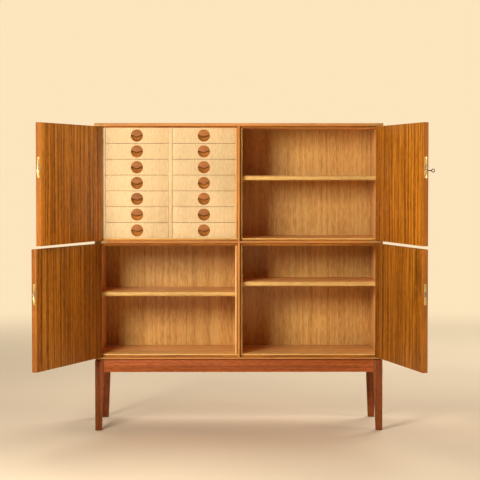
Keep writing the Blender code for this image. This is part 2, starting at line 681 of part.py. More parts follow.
def build_lock(name, side, lock_z, key_x, free, pivot, brass):
    """A mortise lock: edge plate and case, with a straight channel for the bolt and a keyhole."""
    mesh = bmesh.new()
    add_lock_outline(mesh, side, lock_z, free, free + side * PLATE_THICK, free + side * LOCK_DEPTH, 0.0)
    lock = make(f"lock_{name}", mesh, brass, pivot)
    hollow = bmesh.new()
    half_z, half_y = BOLT_HEIGHT / 2 + CLEAR, BOLT_THICK / 2 + CLEAR
    low = (free - side * PLATE_THICK, DOOR_MID_Y - half_y, lock_z - half_z)
    high = (free + side * (LOCK_DEPTH + PLATE_THICK), DOOR_MID_Y + half_y, lock_z + half_z)
    add_box(hollow, low, high)
    combine(lock, hollow, "DIFFERENCE")
    chamber = bmesh.new()
    reach = KEY_RADIUS + KEY_BIT_REACH + KEY_PLAY
    centre = (key_x, lock_z - KEY_DROP)
    add_cylinder(chamber, centre, reach, "Y", DOOR_MID_Y - half_y, DOOR_MID_Y + half_y, 2 * ROUND_STEPS)
    combine(lock, chamber, "DIFFERENCE")
    keyhole = bmesh.new()
    add_keyhole(keyhole, *centre, DOOR_MID_Y - PLATE_WIDTH, DOOR_MID_Y)
    combine(lock, keyhole, "DIFFERENCE")


def build_bolt(name, side, lock_z, key_x, free, pivot, steel):
    """A flat bolt, notched from below where the key turns."""
    back = free + side * BOLT_LENGTH
    reach = KEY_RADIUS + KEY_BIT_REACH + KEY_PLAY
    near, far = key_x - side * reach, key_x + side * (reach + BOLT_THROW)
    half = BOLT_HEIGHT / 2
    outline = [
        (free, -half),
        (near, -half),
        (near, reach - KEY_DROP),
        (far, reach - KEY_DROP),
        (far, -half),
        (back, -half),
        (back, half),
        (free, half),
    ]
    outline = [(x, lock_z + z) for x, z in outline]
    mesh = bmesh.new()
    add_prism(mesh, outline, "Y", DOOR_MID_Y - BOLT_THICK / 2, DOOR_MID_Y + BOLT_THICK / 2)
    make(f"bolt_{name}", mesh, steel, pivot)


def build_key(key_z, key_x, pivot, steel):
    """The key in the upper right door: shank, bit in the bolt's notch, and a ring bow."""
    tip = DOOR_MID_Y + BOLT_THICK / 2 - CLEAR
    bow_y = -PIN_INSET_Y - KEY_REACH + BOW_RADIUS
    mesh = bmesh.new()
    add_cylinder(mesh, (0.0, 0.0), KEY_RADIUS, "Y", bow_y + (BOW_RADIUS + BOW_HOLE) / 2, tip, ROUND_STEPS)
    key = make("key", mesh, steel, pivot)
    key.location = (key_x, 0.0, key_z)
    bit = bmesh.new()
    bit_low = DOOR_MID_Y - BOLT_THICK / 2 + CLEAR
    low, high = (-KEY_BIT_THICK / 2, bit_low, -KEY_RADIUS - KEY_BIT_REACH), (KEY_BIT_THICK / 2, tip - CLEAR, 0.0)
    add_box(bit, low, high)
    combine(key, bit, "UNION")
    bow = bmesh.new()
    steps = 2 * ROUND_STEPS
    rings = []
    for x in (-BOW_THICK / 2, BOW_THICK / 2):
        for radius in (BOW_RADIUS, BOW_HOLE):
            turns = [2 * math.pi * n / steps for n in range(steps)]
            ring = [(x, bow_y + radius * math.cos(t), radius * math.sin(t)) for t in turns]
            rings.append([bow.verts.new(point) for point in ring])
    for n in range(steps):
        for a, b in ((0, 1), (2, 3), (0, 2), (1, 3)):
            bow.faces.new((rings[a][n - 1], rings[a][n], rings[b][n], rings[b][n - 1]))
    combine(key, bow, "UNION")


def build_hinge(name, side, level, up, brass):
    """A pivot hinge: a leaf let into the bead, a pin into the door, and a collar under the door."""
    leaf_z = level - up * LEAF_THICK
    low = (side * (PIVOT_X - LEAF_LENGTH), LEAF_SETBACK, leaf_z)
    high = (side * (PIVOT_X + LEAF_END), LEAF_SETBACK + LEAF_WIDTH, level)
    mesh = bmesh.new()
    add_box(mesh, low, high)
    hinge = make(name, mesh, brass)
    pin = bmesh.new()
    end = level + up * (DOOR_END_GAP + PIN_REACH)
    add_cylinder(pin, (side * PIVOT_X, PIVOT_Y), PIN_RADIUS, "Z", leaf_z + up * CLEAR, end, ROUND_STEPS)
    combine(hinge, pin, "UNION")
    if up > 0:
        collar = bmesh.new()
        end = level + DOOR_END_GAP - CLEAR
        start = level - LEAF_THICK / 2
        add_cylinder(collar, (side * PIVOT_X, PIVOT_Y), COLLAR_RADIUS, "Z", start, end, ROUND_STEPS)
        combine(hinge, collar, "UNION")


def main():
    """Build the whole highboard."""
    clear_scene()
    teak = finish("teak", (0.52, 0.25, 0.09), 0.45)
    oak = finish("oak", (0.74, 0.52, 0.28), 0.5)
    mahogany = finish("mahogany", (0.30, 0.10, 0.05), 0.4)
    brass = finish("brass", (0.72, 0.55, 0.25), 0.35, 1.0)
    steel = finish("steel", (0.42, 0.40, 0.38), 0.4, 1.0)
    build_stand(mahogany)
    build_case(teak, oak)
    build_front_frame(teak)
    build_shelves(oak)
    build_drawers(oak)
    for door in DOORS:
        build_door(*door, teak, brass, steel)


main()
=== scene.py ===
"""Looks for a wooden highboard on a stand: timber, joinery, fittings, floor, lamps and camera.

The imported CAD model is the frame. Each piece is built in metres where the frame says, and rides on its body.
"""

import json
import random
from functools import partialmethod
from math import asin, cos, pi, radians, sin, sqrt

import bmesh
import bpy
from bpy.props import FloatProperty, FloatVectorProperty, PointerProperty
from bpy.types import Operator, Panel, PropertyGroup
from mathutils import Euler, Matrix, Vector


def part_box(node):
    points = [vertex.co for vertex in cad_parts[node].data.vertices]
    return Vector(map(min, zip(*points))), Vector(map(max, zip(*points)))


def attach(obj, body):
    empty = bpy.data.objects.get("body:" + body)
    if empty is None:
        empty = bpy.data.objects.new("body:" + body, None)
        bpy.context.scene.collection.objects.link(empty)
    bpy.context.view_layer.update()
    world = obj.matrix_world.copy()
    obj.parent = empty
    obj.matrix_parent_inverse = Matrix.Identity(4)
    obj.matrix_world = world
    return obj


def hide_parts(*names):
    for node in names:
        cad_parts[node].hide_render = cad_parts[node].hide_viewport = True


bl_info = {
    "name": "Highboard Dresser",
    "version": (1, 0, 0),
    "blender": (4, 5, 0),
    "location": "View3D > Sidebar > Highboard",
    "description": "Builds the visible timber, fittings and stage of a highboard round its packed model",
    "category": "Add Mesh",
}

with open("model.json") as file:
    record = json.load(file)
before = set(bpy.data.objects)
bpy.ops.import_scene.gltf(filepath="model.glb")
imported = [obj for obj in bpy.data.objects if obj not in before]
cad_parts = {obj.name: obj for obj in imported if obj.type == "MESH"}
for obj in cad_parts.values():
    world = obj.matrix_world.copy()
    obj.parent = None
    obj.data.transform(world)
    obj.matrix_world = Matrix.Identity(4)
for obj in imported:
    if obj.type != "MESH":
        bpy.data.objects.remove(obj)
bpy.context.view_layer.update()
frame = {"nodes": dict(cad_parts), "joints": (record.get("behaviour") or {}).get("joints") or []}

# Names and places in the frame
CASE = "cabinet"
JOINTS = {joint["name"]: joint for joint in frame["joints"]}
DOORS = ("upper_left", "upper_right", "lower_left", "lower_right")
COLUMNS = ("left", "right")
ROWS = 7
FRAME_LOW, FRAME_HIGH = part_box("front_frame")
TOP_LOW, TOP_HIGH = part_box("top_panel")
BOTTOM_LOW, BOTTOM_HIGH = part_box("bottom_panel")
BACK_LOW, BACK_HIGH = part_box("back_panel")

# Directions
X, Y, Z = (1, 0, 0), (0, 1, 0), (0, 0, 1)
ALONG_Y = Matrix.Rotation(radians(-90), 4, "X")

# Sizes in metres
CLEAR = 0.0003
INNER_X = BACK_HIGH.x + CLEAR
LINING = 0.0045
DIVIDER_HALF = 0.0145
BEAD_TOP = 0.012
BEAD_BOTTOM = 0.007
BEAD_MIDDLE = 0.009
BEAD_SIDE = 0.008
BEAD_CENTRE = 0.009
DOOR_THICK = 0.021
PIN_RADIUS = 0.0014
PIN_REACH = 0.010
LEAF_THICK = 0.002
LEAF_WIDTH = 0.011
LEAF_SETBACK = 0.0006
MORTISE_FRONT = -0.002
STRIKE_DEPTH = 0.0036
STRIKE_HALF = 0.004
PLATE_THICK = 0.0015
LOCK_HALF = 0.031
KEYHOLE_INSET = 0.015
KEYHOLE_DROP = 0.012
KEYHOLE_RADIUS = 0.0025
KEYHOLE_SLOT = 0.0055
KEYHOLE_HALF = 0.0013
RUNNER_LIFT = 0.030
RUNNER_HEIGHT = 0.010
RUNNER_REACH = 0.006
DRAWER_FRONT = 0.018
PEG_RADIUS = 0.003
PEG_LENGTH = 0.009
PEG_INSET = 0.050
PULL_RADIUS = 0.0255
PULL_RIM = 0.0011
PULL_THICK = 0.0166
FINE_ROUND = 0.0003
SOFT_ROUND = 0.0006
PAST_FACE = 0.001
CLOSE = 1e-5

# Shares and angles
AROUND_ZERO = (-0.5, 0.5)
SMOOTH_ANGLE = radians(32.0)


def tint(label, text, default):
    """A colour in the panel."""
    return FloatVectorProperty(name=label, description=text, subtype="COLOR", size=3, default=default)


def metres(label, text, low, high, default):
    """A length in the panel."""
    kind = {"subtype": "DISTANCE", "unit": "LENGTH", "precision": 5}
    return FloatProperty(name=label, description=text, min=low, max=high, default=default, **kind)


def portion(label, text, low, default):
    """A share in the panel, up to 1."""
    return FloatProperty(name=label, description=text, subtype="FACTOR", min=low, max=1.0, default=default)


def watts(label, text, default):
    """A lamp's power in the panel."""
    kind = {"subtype": "POWER", "unit": "POWER", "max": 1000.0}
    return FloatProperty(name=label, description=text, min=0.0, default=default, **kind)


class TimberSettings(PropertyGroup):
    """Colours and figure of the four timbers."""

    teak_dark: tint("Teak streaks", "Darkest streak", (0.115, 0.028, 0.001))
    teak_mid: tint("Teak", "Main colour of the veneer", (0.412, 0.134, 0.008))
    teak_light: tint("Teak light", "Palest stripe", (0.625, 0.243, 0.022))
    edge_light: tint("Solid teak", "Lippings and finger pulls", (0.690, 0.280, 0.065))
    oak_dark: tint("Oak pores", "Darkest line", (0.520, 0.235, 0.060))
    oak_mid: tint("Oak", "Main colour inside the case", (0.840, 0.430, 0.130))
    oak_light: tint("Oak light", "Palest fleck", (0.930, 0.580, 0.220))
    drawer_light: tint("Drawer fronts", "Main colour of the drawers", (0.730, 0.525, 0.270))
    mahogany: tint("Mahogany", "Main colour of the stand", (0.335, 0.077, 0.012))
    sheen: portion("Lacquer roughness", "Roughness of the oiled and lacquered faces", 0.05, 0.56)
    pore_depth: metres("Pore depth", "Depth of the pores and fibres", 0.0, 0.001, 0.00018)


class JoinerySettings(PropertyGroup):
    """Sizes of the edges, joints and drawers."""

    arris: metres("Arris", "Rounding of the boards' edges", 0.0002, 0.002, 0.0009)
    bead_round: metres("Bead rounding", "Rounding of the front lippings", 0.0005, 0.003, 0.0016)
    pull_depth: metres("Pull depth", "Depth of the bowl in a finger pull", 0.006, 0.0155, 0.0152)
    pull_lip: metres("Pull lip", "Thickness of the lip over a finger pull's bowl", 0.002, 0.006, 0.005)
    nosing: metres("Shelf nosing", "Depth of the strip along a shelf's front", 0.008, 0.030, 0.014)


class FittingSettings(PropertyGroup):
    """Sizes and colours of the screws, hinges, locks and key."""

    brass: tint("Brass", "Colour of the hinges and lock plates", (0.800, 0.600, 0.250))
    steel: tint("Bolt steel", "Colour of the bolts", (0.300, 0.270, 0.230))
    nickel: tint("Key", "Colour of the key", (0.100, 0.078, 0.060))
    screw_radius: metres("Screw head", "Radius of a screw's head", 0.001, 0.004, 0.0024)
    screw_slot: metres("Screw slot", "Width of a screw's slot", 0.0002, 0.001, 0.0006)


class StageSettings(PropertyGroup):
    """Floor, background and lamps."""

    floor: tint("Floor", "Colour of the floor", (0.860, 0.700, 0.500))
    backdrop: tint("Background", "Colour behind the floor", (0.980, 0.780, 0.510))
    key_power: watts("Key lamp", "Power of the lamp at the front left", 96.0)
    fill_power: watts("Fill lamps", "Power of each of the weaker lamps", 60.0)
    ambient: portion("Ambient", "Strength of the light from all sides", 0.0, 0.06)


# Node trees


class Tree:
    """A node tree, with short calls for the usual nodes."""

    def __init__(self, group):
        self.group = group

    def connect(self, value, socket):
        """Link an output to a socket, or set the socket to a value."""
        if isinstance(value, bpy.types.NodeSocket):
            self.group.links.new(value, socket)
        else:
            socket.default_value = value

    def put(self, kind, inputs=None, output=0, **settings):
        """Add a node, set its properties, fill its inputs by name or number, and return an output."""
        item = self.group.nodes.new(kind)
        for name, value in settings.items():
            setattr(item, name, value)
        for key, value in (inputs or {}).items():
            self.connect(value, item.inputs[key])
        return item.outputs[output]

    def math(self, operation, first, second=0.0):
        """A calculation."""
        return self.put("ShaderNodeMath", {0: first, 1: second}, operation=operation)

    plus = partialmethod(math, "ADD")
    minus = partialmethod(math, "SUBTRACT")
    times = partialmethod(math, "MULTIPLY")

    def vector(self, x, y, z):
        """A vector of three values."""
        return self.put("ShaderNodeCombineXYZ", {0: x, 1: y, 2: z})

    def stretched(self, vector, factors):
        """A vector multiplied by three factors."""
        return self.put("ShaderNodeVectorMath", {0: vector, 1: factors}, operation="MULTIPLY")

    def length(self, vector):
        """How long a vector is."""
        return self.put("ShaderNodeVectorMath", {0: vector}, "Value", operation="LENGTH")

    def noise(self, vector, factors, detail=2.0, roughness=0.5):
        """Noise on a stretched vector, from 0 to 1."""
        place = self.stretched(vector, factors)
        inputs = {"Vector": place, "Scale": 1.0, "Detail": detail, "Roughness": roughness}
        return self.put("ShaderNodeTexNoise", inputs)

    def curve(self, value, low, high, start=0.0, end=1.0):
        """A value carried smoothly from low..high to start..end."""
        inputs = {"Value": value, "From Min": low, "From Max": high, "To Min": start, "To Max": end}
        return self.put("ShaderNodeMapRange", inputs, interpolation_type="SMOOTHSTEP")

    def mix(self, factor, first, second, blend="MIX"):
        """Two colours mixed."""
        inputs = {0: factor, 6: first, 7: second}
        return self.put("ShaderNodeMix", inputs, 2, data_type="RGBA", blend_type=blend)

    def bump(self, strength, distance, height):
        """A normal bent by a height."""
        return self.put("ShaderNodeBump", {"Strength": strength, "Distance": distance, "Height": height})

    def lifted(self, geometry, height):
        """A geometry moved along Z."""
        inputs = {"Geometry": geometry, "Translation": self.vector(0.0, 0.0, height)}
        return self.put("GeometryNodeTransform", inputs)

    def merged(self, operation, first, second):
        """Two solids intersected or united."""
        result = self.put("GeometryNodeMeshBoolean", {1: first}, operation=operation, solver="EXACT")
        self.connect(second, result.node.inputs[1])
        return result

    def facing(self):
        """The rotation that turns Z the way a point's facing attribute says."""
        way = self.put("GeometryNodeInputNamedAttribute", {"Name": "facing"}, data_type="FLOAT_VECTOR")
        return self.put("FunctionNodeAlignRotationToVector", {"Vector": way}, axis="Z")

    def copies(self, points, piece, **inputs):
        """A piece on each of the points."""
        return self.put("GeometryNodeInstanceOnPoints", {"Points": points, "Instance": piece, **inputs})


def rgba(colour):
    """A colour with its alpha."""
    return (*colour, 1.0)


def new_material(name):
    """An empty material, its tree and the inputs of its Principled shader."""
    look = bpy.data.materials.new(name)
    look.use_nodes = True
    return look, Tree(look.node_tree), look.node_tree.nodes["Principled BSDF"].inputs


def timber(name, shades, figure, roughness, gloss):
    """Wood drawn on the piece's own grain attribute: X runs along the fibres, Y across them and Z through.

    The figure gives each of its five parts as lines per metre across the fibres, and a strength.
    """
    look, tree, shader = new_material(name)
    stripes, stripe_share, rings, ring_share, streaks, streak_share = figure[:6]
    dashes, dash_share, pores, pore_share = figure[6:]
    dark, middle, light = (rgba(shade) for shade in shades)
    fibres = tree.put("ShaderNodeAttribute", output="Vector", attribute_name="grain")
    wander = tree.minus(tree.noise(fibres, (1.7, 9.0, 9.0)), 0.5)
    drift = {0: tree.vector(0.0, wander, wander), 1: (0.0, 0.022, 0.022), 2: fibres}
    warped = tree.put("ShaderNodeVectorMath", drift, operation="MULTIPLY_ADD")

    broad = tree.noise(warped, (0.45, stripes, stripes), 3.0, 0.62)
    value = tree.times(tree.curve(broad, 0.32, 0.68, *AROUND_ZERO), stripe_share)
    radius = tree.length(tree.stretched(warped, (0.07, 1.0, 1.0)))
    turns = tree.plus(tree.times(radius, rings), tree.times(broad, 2.2))
    ring = tree.curve(tree.math("FRACT", turns), 0.10, 0.98, *AROUND_ZERO)
    value = tree.plus(value, tree.times(ring, ring_share))
    dash = tree.noise(warped, (dashes / 9, dashes, dashes), 2.0, 0.6)
    dash = tree.curve(dash, 0.34, 0.66, *AROUND_ZERO)
    value = tree.plus(value, tree.times(dash, dash_share))
    zone = tree.curve(tree.noise(warped, (0.5, 5.0, 5.0), 1.0), 0.38, 0.60, 0.25, 1.0)
    streak = tree.curve(tree.noise(warped, (0.8, streaks, streaks), 2.0, 0.7), 0.54, 0.70)
    value = tree.minus(value, tree.times(tree.times(streak, zone), streak_share))
    fibre = tree.noise(warped, (14.0, 620.0, 620.0), 2.0, 0.7)
    value = tree.plus(tree.plus(value, 0.5), tree.times(tree.minus(fibre, 0.5), 0.5))
    ramp = tree.put("ShaderNodeValToRGB", {0: value})
    stops = ramp.node.color_ramp.elements
    stops[0].color = dark
    stops[1].color = light
    stops.new(0.5).color = middle

    pore = tree.curve(tree.noise(fibres, (pores / 16, pores, pores), 1.0, 0.4), 0.58, 0.70)
    colour = tree.mix(tree.times(pore, pore_share), ramp, dark)
    cloud = tree.curve(tree.noise(fibres, (2.6, 6.0, 6.0)), 0.2, 0.8, 0.86, 1.10)
    colour = tree.mix(1.0, colour, tree.vector(cloud, cloud, cloud), "MULTIPLY")
    # Painted shade: the colour darkens where a piece's own attribute marks it, as on a finger pull's bowl
    # under its lip.
    painted_shade = tree.put("ShaderNodeAttribute", output="Fac", attribute_name="painted_shade")
    colour = tree.mix(tree.times(painted_shade, 0.85), colour, rgba(scaled(shades[0], 0.12)))
    tree.connect(colour, shader["Base Color"])

    rough = tree.plus(tree.times(fibre, 0.14), roughness - 0.06)
    tree.connect(tree.plus(rough, tree.times(pore, 0.12)), shader["Roughness"])
    depth = bpy.context.scene.highboard_timber.pore_depth
    tree.connect(tree.bump(0.55, depth, tree.minus(tree.times(fibre, 0.5), pore)), shader["Normal"])
    shader["Specular IOR Level"].default_value = gloss
    return look


def metal(name, colour, roughness, scratch, tarnish):
    """Worn metal with fine scratches along Z and darker blotches."""
    look, tree, shader = new_material(name)
    place = tree.put("ShaderNodeTexCoord", output="Object")
    scratches = tree.noise(place, (2600.0, 2600.0, 190.0), 2.0, 0.6)
    blotch = tree.curve(tree.noise(place, (120.0, 120.0, 120.0), 3.0, 0.6), 0.40, 0.70)
    aged = scaled(colour, 1.0 - tarnish)
    tree.connect(tree.mix(blotch, rgba(colour), rgba(aged)), shader["Base Color"])
    shader["Metallic"].default_value = 1.0
    rough = tree.plus(tree.times(blotch, 0.18), tree.times(scratches, 0.16))
    tree.connect(tree.plus(rough, roughness - 0.08), shader["Roughness"])
    tree.connect(tree.bump(scratch, 0.00002, scratches), shader["Normal"])
    return look


def scaled(colour, *shares):
    """A colour scaled by one share, or by one for each channel, and held below white."""
    if len(shares) == 1:
        shares *= 3
    return tuple(min(1.0, channel * share) for channel, share in zip(colour, shares))


def toned(shades, *shares):
    """Three shades, each scaled alike."""
    return [scaled(shade, *shares) for shade in shades]


def look_of(name):
    """A finish, made when it is first asked for."""
    found = bpy.data.materials.get(name)
    if found:
        return found
    wood = bpy.context.scene.highboard_timber
    parts = bpy.context.scene.highboard_fittings
    satin, lacquer = wood.sheen, wood.sheen - 0.27
    teak = (wood.teak_dark, wood.teak_mid, wood.teak_light)
    oak = (wood.oak_dark, wood.oak_mid, wood.oak_light)
    solid = [scaled(wood.edge_light, share) for share in (0.40, 0.74, 1.0)]
    red = [scaled(wood.mahogany, share) for share in (0.40, 1.0, 1.7)]
    shares = ((0.80, 0.69, 0.55), (1.0,), (1.12, 1.13, 1.14))
    pale = [scaled(wood.drawer_light, *share) for share in shares]
    striped = (62, 0.60, 50, 0.26, 150, 0.66, 270, 0.34, 900, 0.45)
    bright = (58, 0.60, 50, 0.26, 150, 0.62, 270, 0.34, 900, 0.45)
    plain = (16, 0.50, 60, 0.30, 70, 0.20, 190, 0.22, 900, 0.45)
    strip = (40, 0.40, 50, 0.25, 90, 0.15, 220, 0.25, 900, 0.35)
    inner = (18, 0.26, 60, 0.16, 120, 0.14, 240, 0.34, 560, 0.40)
    sheet = (18, 0.24, 60, 0.24, 150, 0.28, 250, 0.38, 560, 0.40)
    edge = (18, 0.20, 60, 0.12, 120, 0.10, 240, 0.30, 560, 0.30)
    nose = (18, 0.26, 60, 0.16, 120, 0.14, 240, 0.30, 560, 0.30)
    drawer = (20, 0.12, 60, 0.06, 200, 0.10, 430, 0.42, 860, 0.40)
    stand = (60, 0.34, 90, 0.16, 160, 0.22, 320, 0.30, 800, 0.50)
    woods = {
        "striped_teak": (toned(teak, 0.90), striped, satin - 0.12, 0.14),
        "bright_teak": (toned(teak, 1.16), bright, satin - 0.12, 0.14),
        "plain_teak": (teak, plain, satin, 0.25),
        "solid_teak": (solid, strip, satin, 0.25),
        "door_edging": (toned(solid, 0.70, 0.55, 0.27), strip, satin, 0.20),
        "pull_teak": (toned(solid, 0.70, 0.58, 0.46), strip, satin, 0.25),
        "bowl_teak": (toned(solid, 0.88, 0.75, 0.46), strip, satin, 0.20),
        # inner_oak and back_oak are one oak veneer. inner_oak is lighter as painted light: it stands in for
        # the light that the grazing shelf tops and floors catch and reflect.
        "inner_oak": (oak, inner, lacquer, 0.36),
        "back_oak": (toned(oak, 0.79, 0.86, 0.80), sheet, lacquer, 0.30),
        "front_oak": (toned(oak, 1.08, 1.28, 1.28), edge, satin, 0.12),
        "nosing_oak": (toned(oak, 0.82, 0.95, 0.92), nose, satin, 0.30),
        "pale_oak": (pale, drawer, satin, 0.30),
        "red_mahogany": (red, stand, satin, 0.20),
        "brown_mahogany": (toned(red, 0.66), stand, satin, 0.20),
    }
    metals = {
        "satin_brass": (parts.brass, 0.30, 0.35, 0.22),
        "dark_steel": (parts.steel, 0.42, 0.30, 0.30),
        "aged_brass": (scaled(parts.brass, 0.6), 0.46, 0.35, 0.30),
        "nickel": (parts.nickel, 0.34, 0.30, 0.35),
    }
    return timber(name, *woods[name]) if name in woods else metal(name, *metals[name])


# Mesh building


def box_mesh(low, high):
    """A new mesh: a box between two corners, given in any order."""
    low, high = Vector(low), Vector(high)
    size = Matrix.Diagonal([abs(a - b) for a, b in zip(low, high)]).to_4x4()
    mesh = bmesh.new()
    bmesh.ops.create_cube(mesh, size=1.0, matrix=Matrix.Translation((low + high) / 2) @ size)
    return mesh


def prism(outline, axis, start, end):
    """A new mesh: an outline across the axis, carried from start to end."""
    order = {"X": (2, 0, 1), "Y": (0, 2, 1), "Z": (0, 1, 2)}[axis]
    mesh = bmesh.new()
    near, far = [[mesh.verts.new([(u, v, w)[n] for n in order]) for u, v in outline] for w in (start, end)]
    mesh.faces.new(near)
    mesh.faces.new(far)
    for n in range(len(outline)):
        mesh.faces.new((near[n - 1], near[n], far[n], far[n - 1]))
    bmesh.ops.recalc_face_normals(mesh, faces=mesh.faces)
    return mesh


def circle(radius, steps, start=0.0):
    """Points round a circle."""
    turns = [2 * pi * (n + start) / steps for n in range(steps)]
    return [(radius * cos(turn), radius * sin(turn)) for turn in turns]


def disc(centre, radius, axis, start, end, steps):
    """A new mesh: a cylinder round an axis."""
    outline = [(centre[0] + u, centre[1] + v) for u, v in circle(radius, steps, 0.5)]
    return prism(outline, axis, start, end)


def lathe(profile, place, steps, ring=False):
    """A new mesh: a profile of (radius, height) turned round Z. A ring's profile is a loop."""
    mesh = bmesh.new()
    loops = []
    for radius, height in profile:
        around = circle(radius, steps if radius else 1)
        loops.append([mesh.verts.new((x, y, height)) for x, y in around])
    following = loops[1:] + (loops[:1] if ring else [])
    for low, high in zip(loops, following):
        for n in range(steps):
            around = ((low, n - 1), (low, n), (high, n), (high, n - 1))
            corners = list(dict.fromkeys(loop[turn % len(loop)] for loop, turn in around))
            if len(corners) > 2:
                mesh.faces.new(corners)
    bmesh.ops.recalc_face_normals(mesh, faces=mesh.faces)
    mesh.transform(place)
    return mesh


def round_edges(mesh, width=None, segments=2, sharp=40.0, keep=None):
    """Bevel the mesh's sharp edges, or those of them that keep says. Without a width it is the arris."""
    if width is None:
        width = bpy.context.scene.highboard_joinery.arris
    edges = [e for e in mesh.edges if len(e.link_faces) == 2 and e.calc_face_angle(0.0) > radians(sharp)]
    edges = [edge for edge in edges if keep is None or keep(edge)]
    form = {"offset": width, "segments": segments, "profile": 0.5, "affect": "EDGES", "clamp_overlap": True}
    bmesh.ops.bevel(mesh, geom=edges, **form)
    return mesh


def soft_box(low, high, width, segments=2):
    """A new mesh: a box with rounded edges."""
    return round_edges(box_mesh(low, high), width, segments)


def stored(name, mesh):
    """Mesh data that takes over a mesh under construction."""
    data = bpy.data.meshes.new(name)
    mesh.to_mesh(data)
    mesh.free()
    return data


def linked(name, data):
    """A new object in the scene."""
    item = bpy.data.objects.new(name, data)
    bpy.context.scene.collection.objects.link(item)
    return item


def solved(item):
    """A new mesh: what an object's modifiers make of it."""
    bpy.context.view_layer.update()
    data = bpy.data.meshes.new_from_object(item.evaluated_get(bpy.context.evaluated_depsgraph_get()))
    result = bmesh.new()
    result.from_mesh(data)
    bpy.data.meshes.remove(data)
    return result


def discard(items):
    """Remove scratch objects and their data."""
    for item in items:
        data = item.data
        bpy.data.objects.remove(item, do_unlink=True)
        bpy.data.meshes.remove(data)


def carve(mesh, cutters, index=0):
    """Cut the cutters out of the mesh. The cut faces take the material number."""
    base = linked("scratch", stored("scratch", mesh))
    tools = []
    for cutter in cutters:
        tools.append(linked("scratch", stored("scratch", paint(cutter, index))))
        change = base.modifiers.new("Cut", "BOOLEAN")
        change.operation = "DIFFERENCE"
        change.solver = "EXACT"
        change.object = tools[-1]
    result = solved(base)
    discard([base, *tools])
    bmesh.ops.remove_doubles(result, verts=result.verts, dist=0.000002)
    return result


def from_node(name, place=None):
    """A copy of a CAD node's mesh, welded and carried back by place, with whole flat faces."""
    mesh = bmesh.new()
    mesh.from_mesh(frame["nodes"][name].data)
    paint(mesh, 0)
    if place:
        mesh.transform(place.inverted())
    bmesh.ops.remove_doubles(mesh, verts=mesh.verts, dist=0.00001)
    flat = radians(0.6)
    bmesh.ops.dissolve_limit(mesh, angle_limit=flat, verts=mesh.verts, edges=mesh.edges, delimit=set())
    return mesh


def grain_layer(mesh):
    """The layer of the grain attribute, made if it is missing."""
    layers = mesh.verts.layers.float_vector
    return layers.get("grain") or layers.new("grain")


def grain(mesh, along, across, seed, shift=None):
    """Write the grain attribute: how far each point lies along, across and through the fibres.

    The seed draws the place in the timber, unless a shift gives it.
    """
    layer = grain_layer(mesh)
    along, across = Vector(along), Vector(across)
    through = along.cross(across)
    draw = random.Random(seed).uniform
    move = Vector(shift or (draw(-3, 3), draw(0.12, 0.9), draw(-0.6, 0.6)))
    for vert in mesh.verts:
        point = vert.co
        vert[layer] = Vector((point.dot(along), point.dot(across), point.dot(through))) + move
    return mesh


def paint(mesh, index, chosen=None):
    """Give faces a material number."""
    for face in mesh.faces:
        if chosen is None or chosen(face):
            face.material_index = index
    return mesh


def join(meshes):
    """One mesh out of several, each of which is used up."""
    whole = bmesh.new()
    grain_layer(whole)
    for mesh in meshes:
        grain_layer(mesh)
        data = stored("scratch", mesh)
        whole.from_mesh(data)
        bpy.data.meshes.remove(data)
    return whole


def board(low, high, along, across, seed, width=None, shift=None):
    """A board with softened edges and its grain."""
    return grain(soft_box(low, high, width), along, across, seed, shift)


def edge_strip(mesh, axis, start, end, within, beyond):
    """Give a board's front edge one material between two places on an axis, and another beyond them."""
    across = Vector([float(n == axis) for n in range(3)])
    for place in (start, end):
        geometry = [*mesh.verts, *mesh.edges, *mesh.faces]
        bmesh.ops.bisect_plane(mesh, geom=geometry, dist=1e-6, plane_co=across * place, plane_no=across)
    for face in mesh.faces:
        if face.normal.y < -0.25:
            face.material_index = within if start < face.calc_center_median()[axis] < end else beyond
    return mesh


def spaced(start, end, count):
    """Evenly spaced values from start to end."""
    return [start + (end - start) * n / (count - 1) for n in range(count)]


def finish(name, mesh, looks, node=None, body=CASE, place=None):
    """Make the finished object in its place, and let it ride on its body."""
    if place:
        mesh.transform(place)
    data = stored(name, mesh)
    for look in looks:
        data.materials.append(look_of(look))
    data.shade_smooth()
    data.set_sharp_from_angle(angle=SMOOTH_ANGLE)
    item = linked(name, data)
    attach(item, body)
    if node:
        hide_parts(node)


def finish_board(node, mesh, looks):
    """Finish a board that takes the place of one node of the case."""
    finish(f"{node}_board", mesh, looks, node)


# Geometry Nodes


def screw_heads(tree, source):
    """Slotted, slightly domed screw heads, turned by the facing attribute."""
    radius = source["Radius"]
    ball = {"Segments": 24, "Rings": 12, "Radius": tree.times(radius, 1.9)}
    dome = tree.lifted(tree.put("GeometryNodeMeshUVSphere", ball), tree.times(radius, -1.62))
    drum = {"Vertices": 24, "Radius": radius, "Depth": tree.times(radius, 0.9)}
    head = tree.merged("INTERSECT", dome, tree.put("GeometryNodeMeshCylinder", drum))
    size = tree.vector(tree.times(radius, 3.0), source["Slot"], tree.times(radius, 0.32))
    bar = tree.lifted(tree.put("GeometryNodeMeshCube", {"Size": size}), tree.times(radius, 0.25))
    slotted = tree.put("GeometryNodeMeshBoolean", {0: head, 1: bar}, operation="DIFFERENCE", solver="EXACT")
    draw = {"Min": 0.0, "Max": pi, "Seed": source["Seed"]}
    angle = tree.put("FunctionNodeRandomValue", draw, "Value", data_type="FLOAT")
    spin = tree.put("FunctionNodeAxisAngleToRotation", {"Axis": Z, "Angle": angle})
    turn = {"Rotation": tree.facing(), "Rotate By": spin}
    turned = tree.put("FunctionNodeRotateRotation", turn, rotation_space="LOCAL")
    return tree.copies(source["Geometry"], slotted, Rotation=turned)


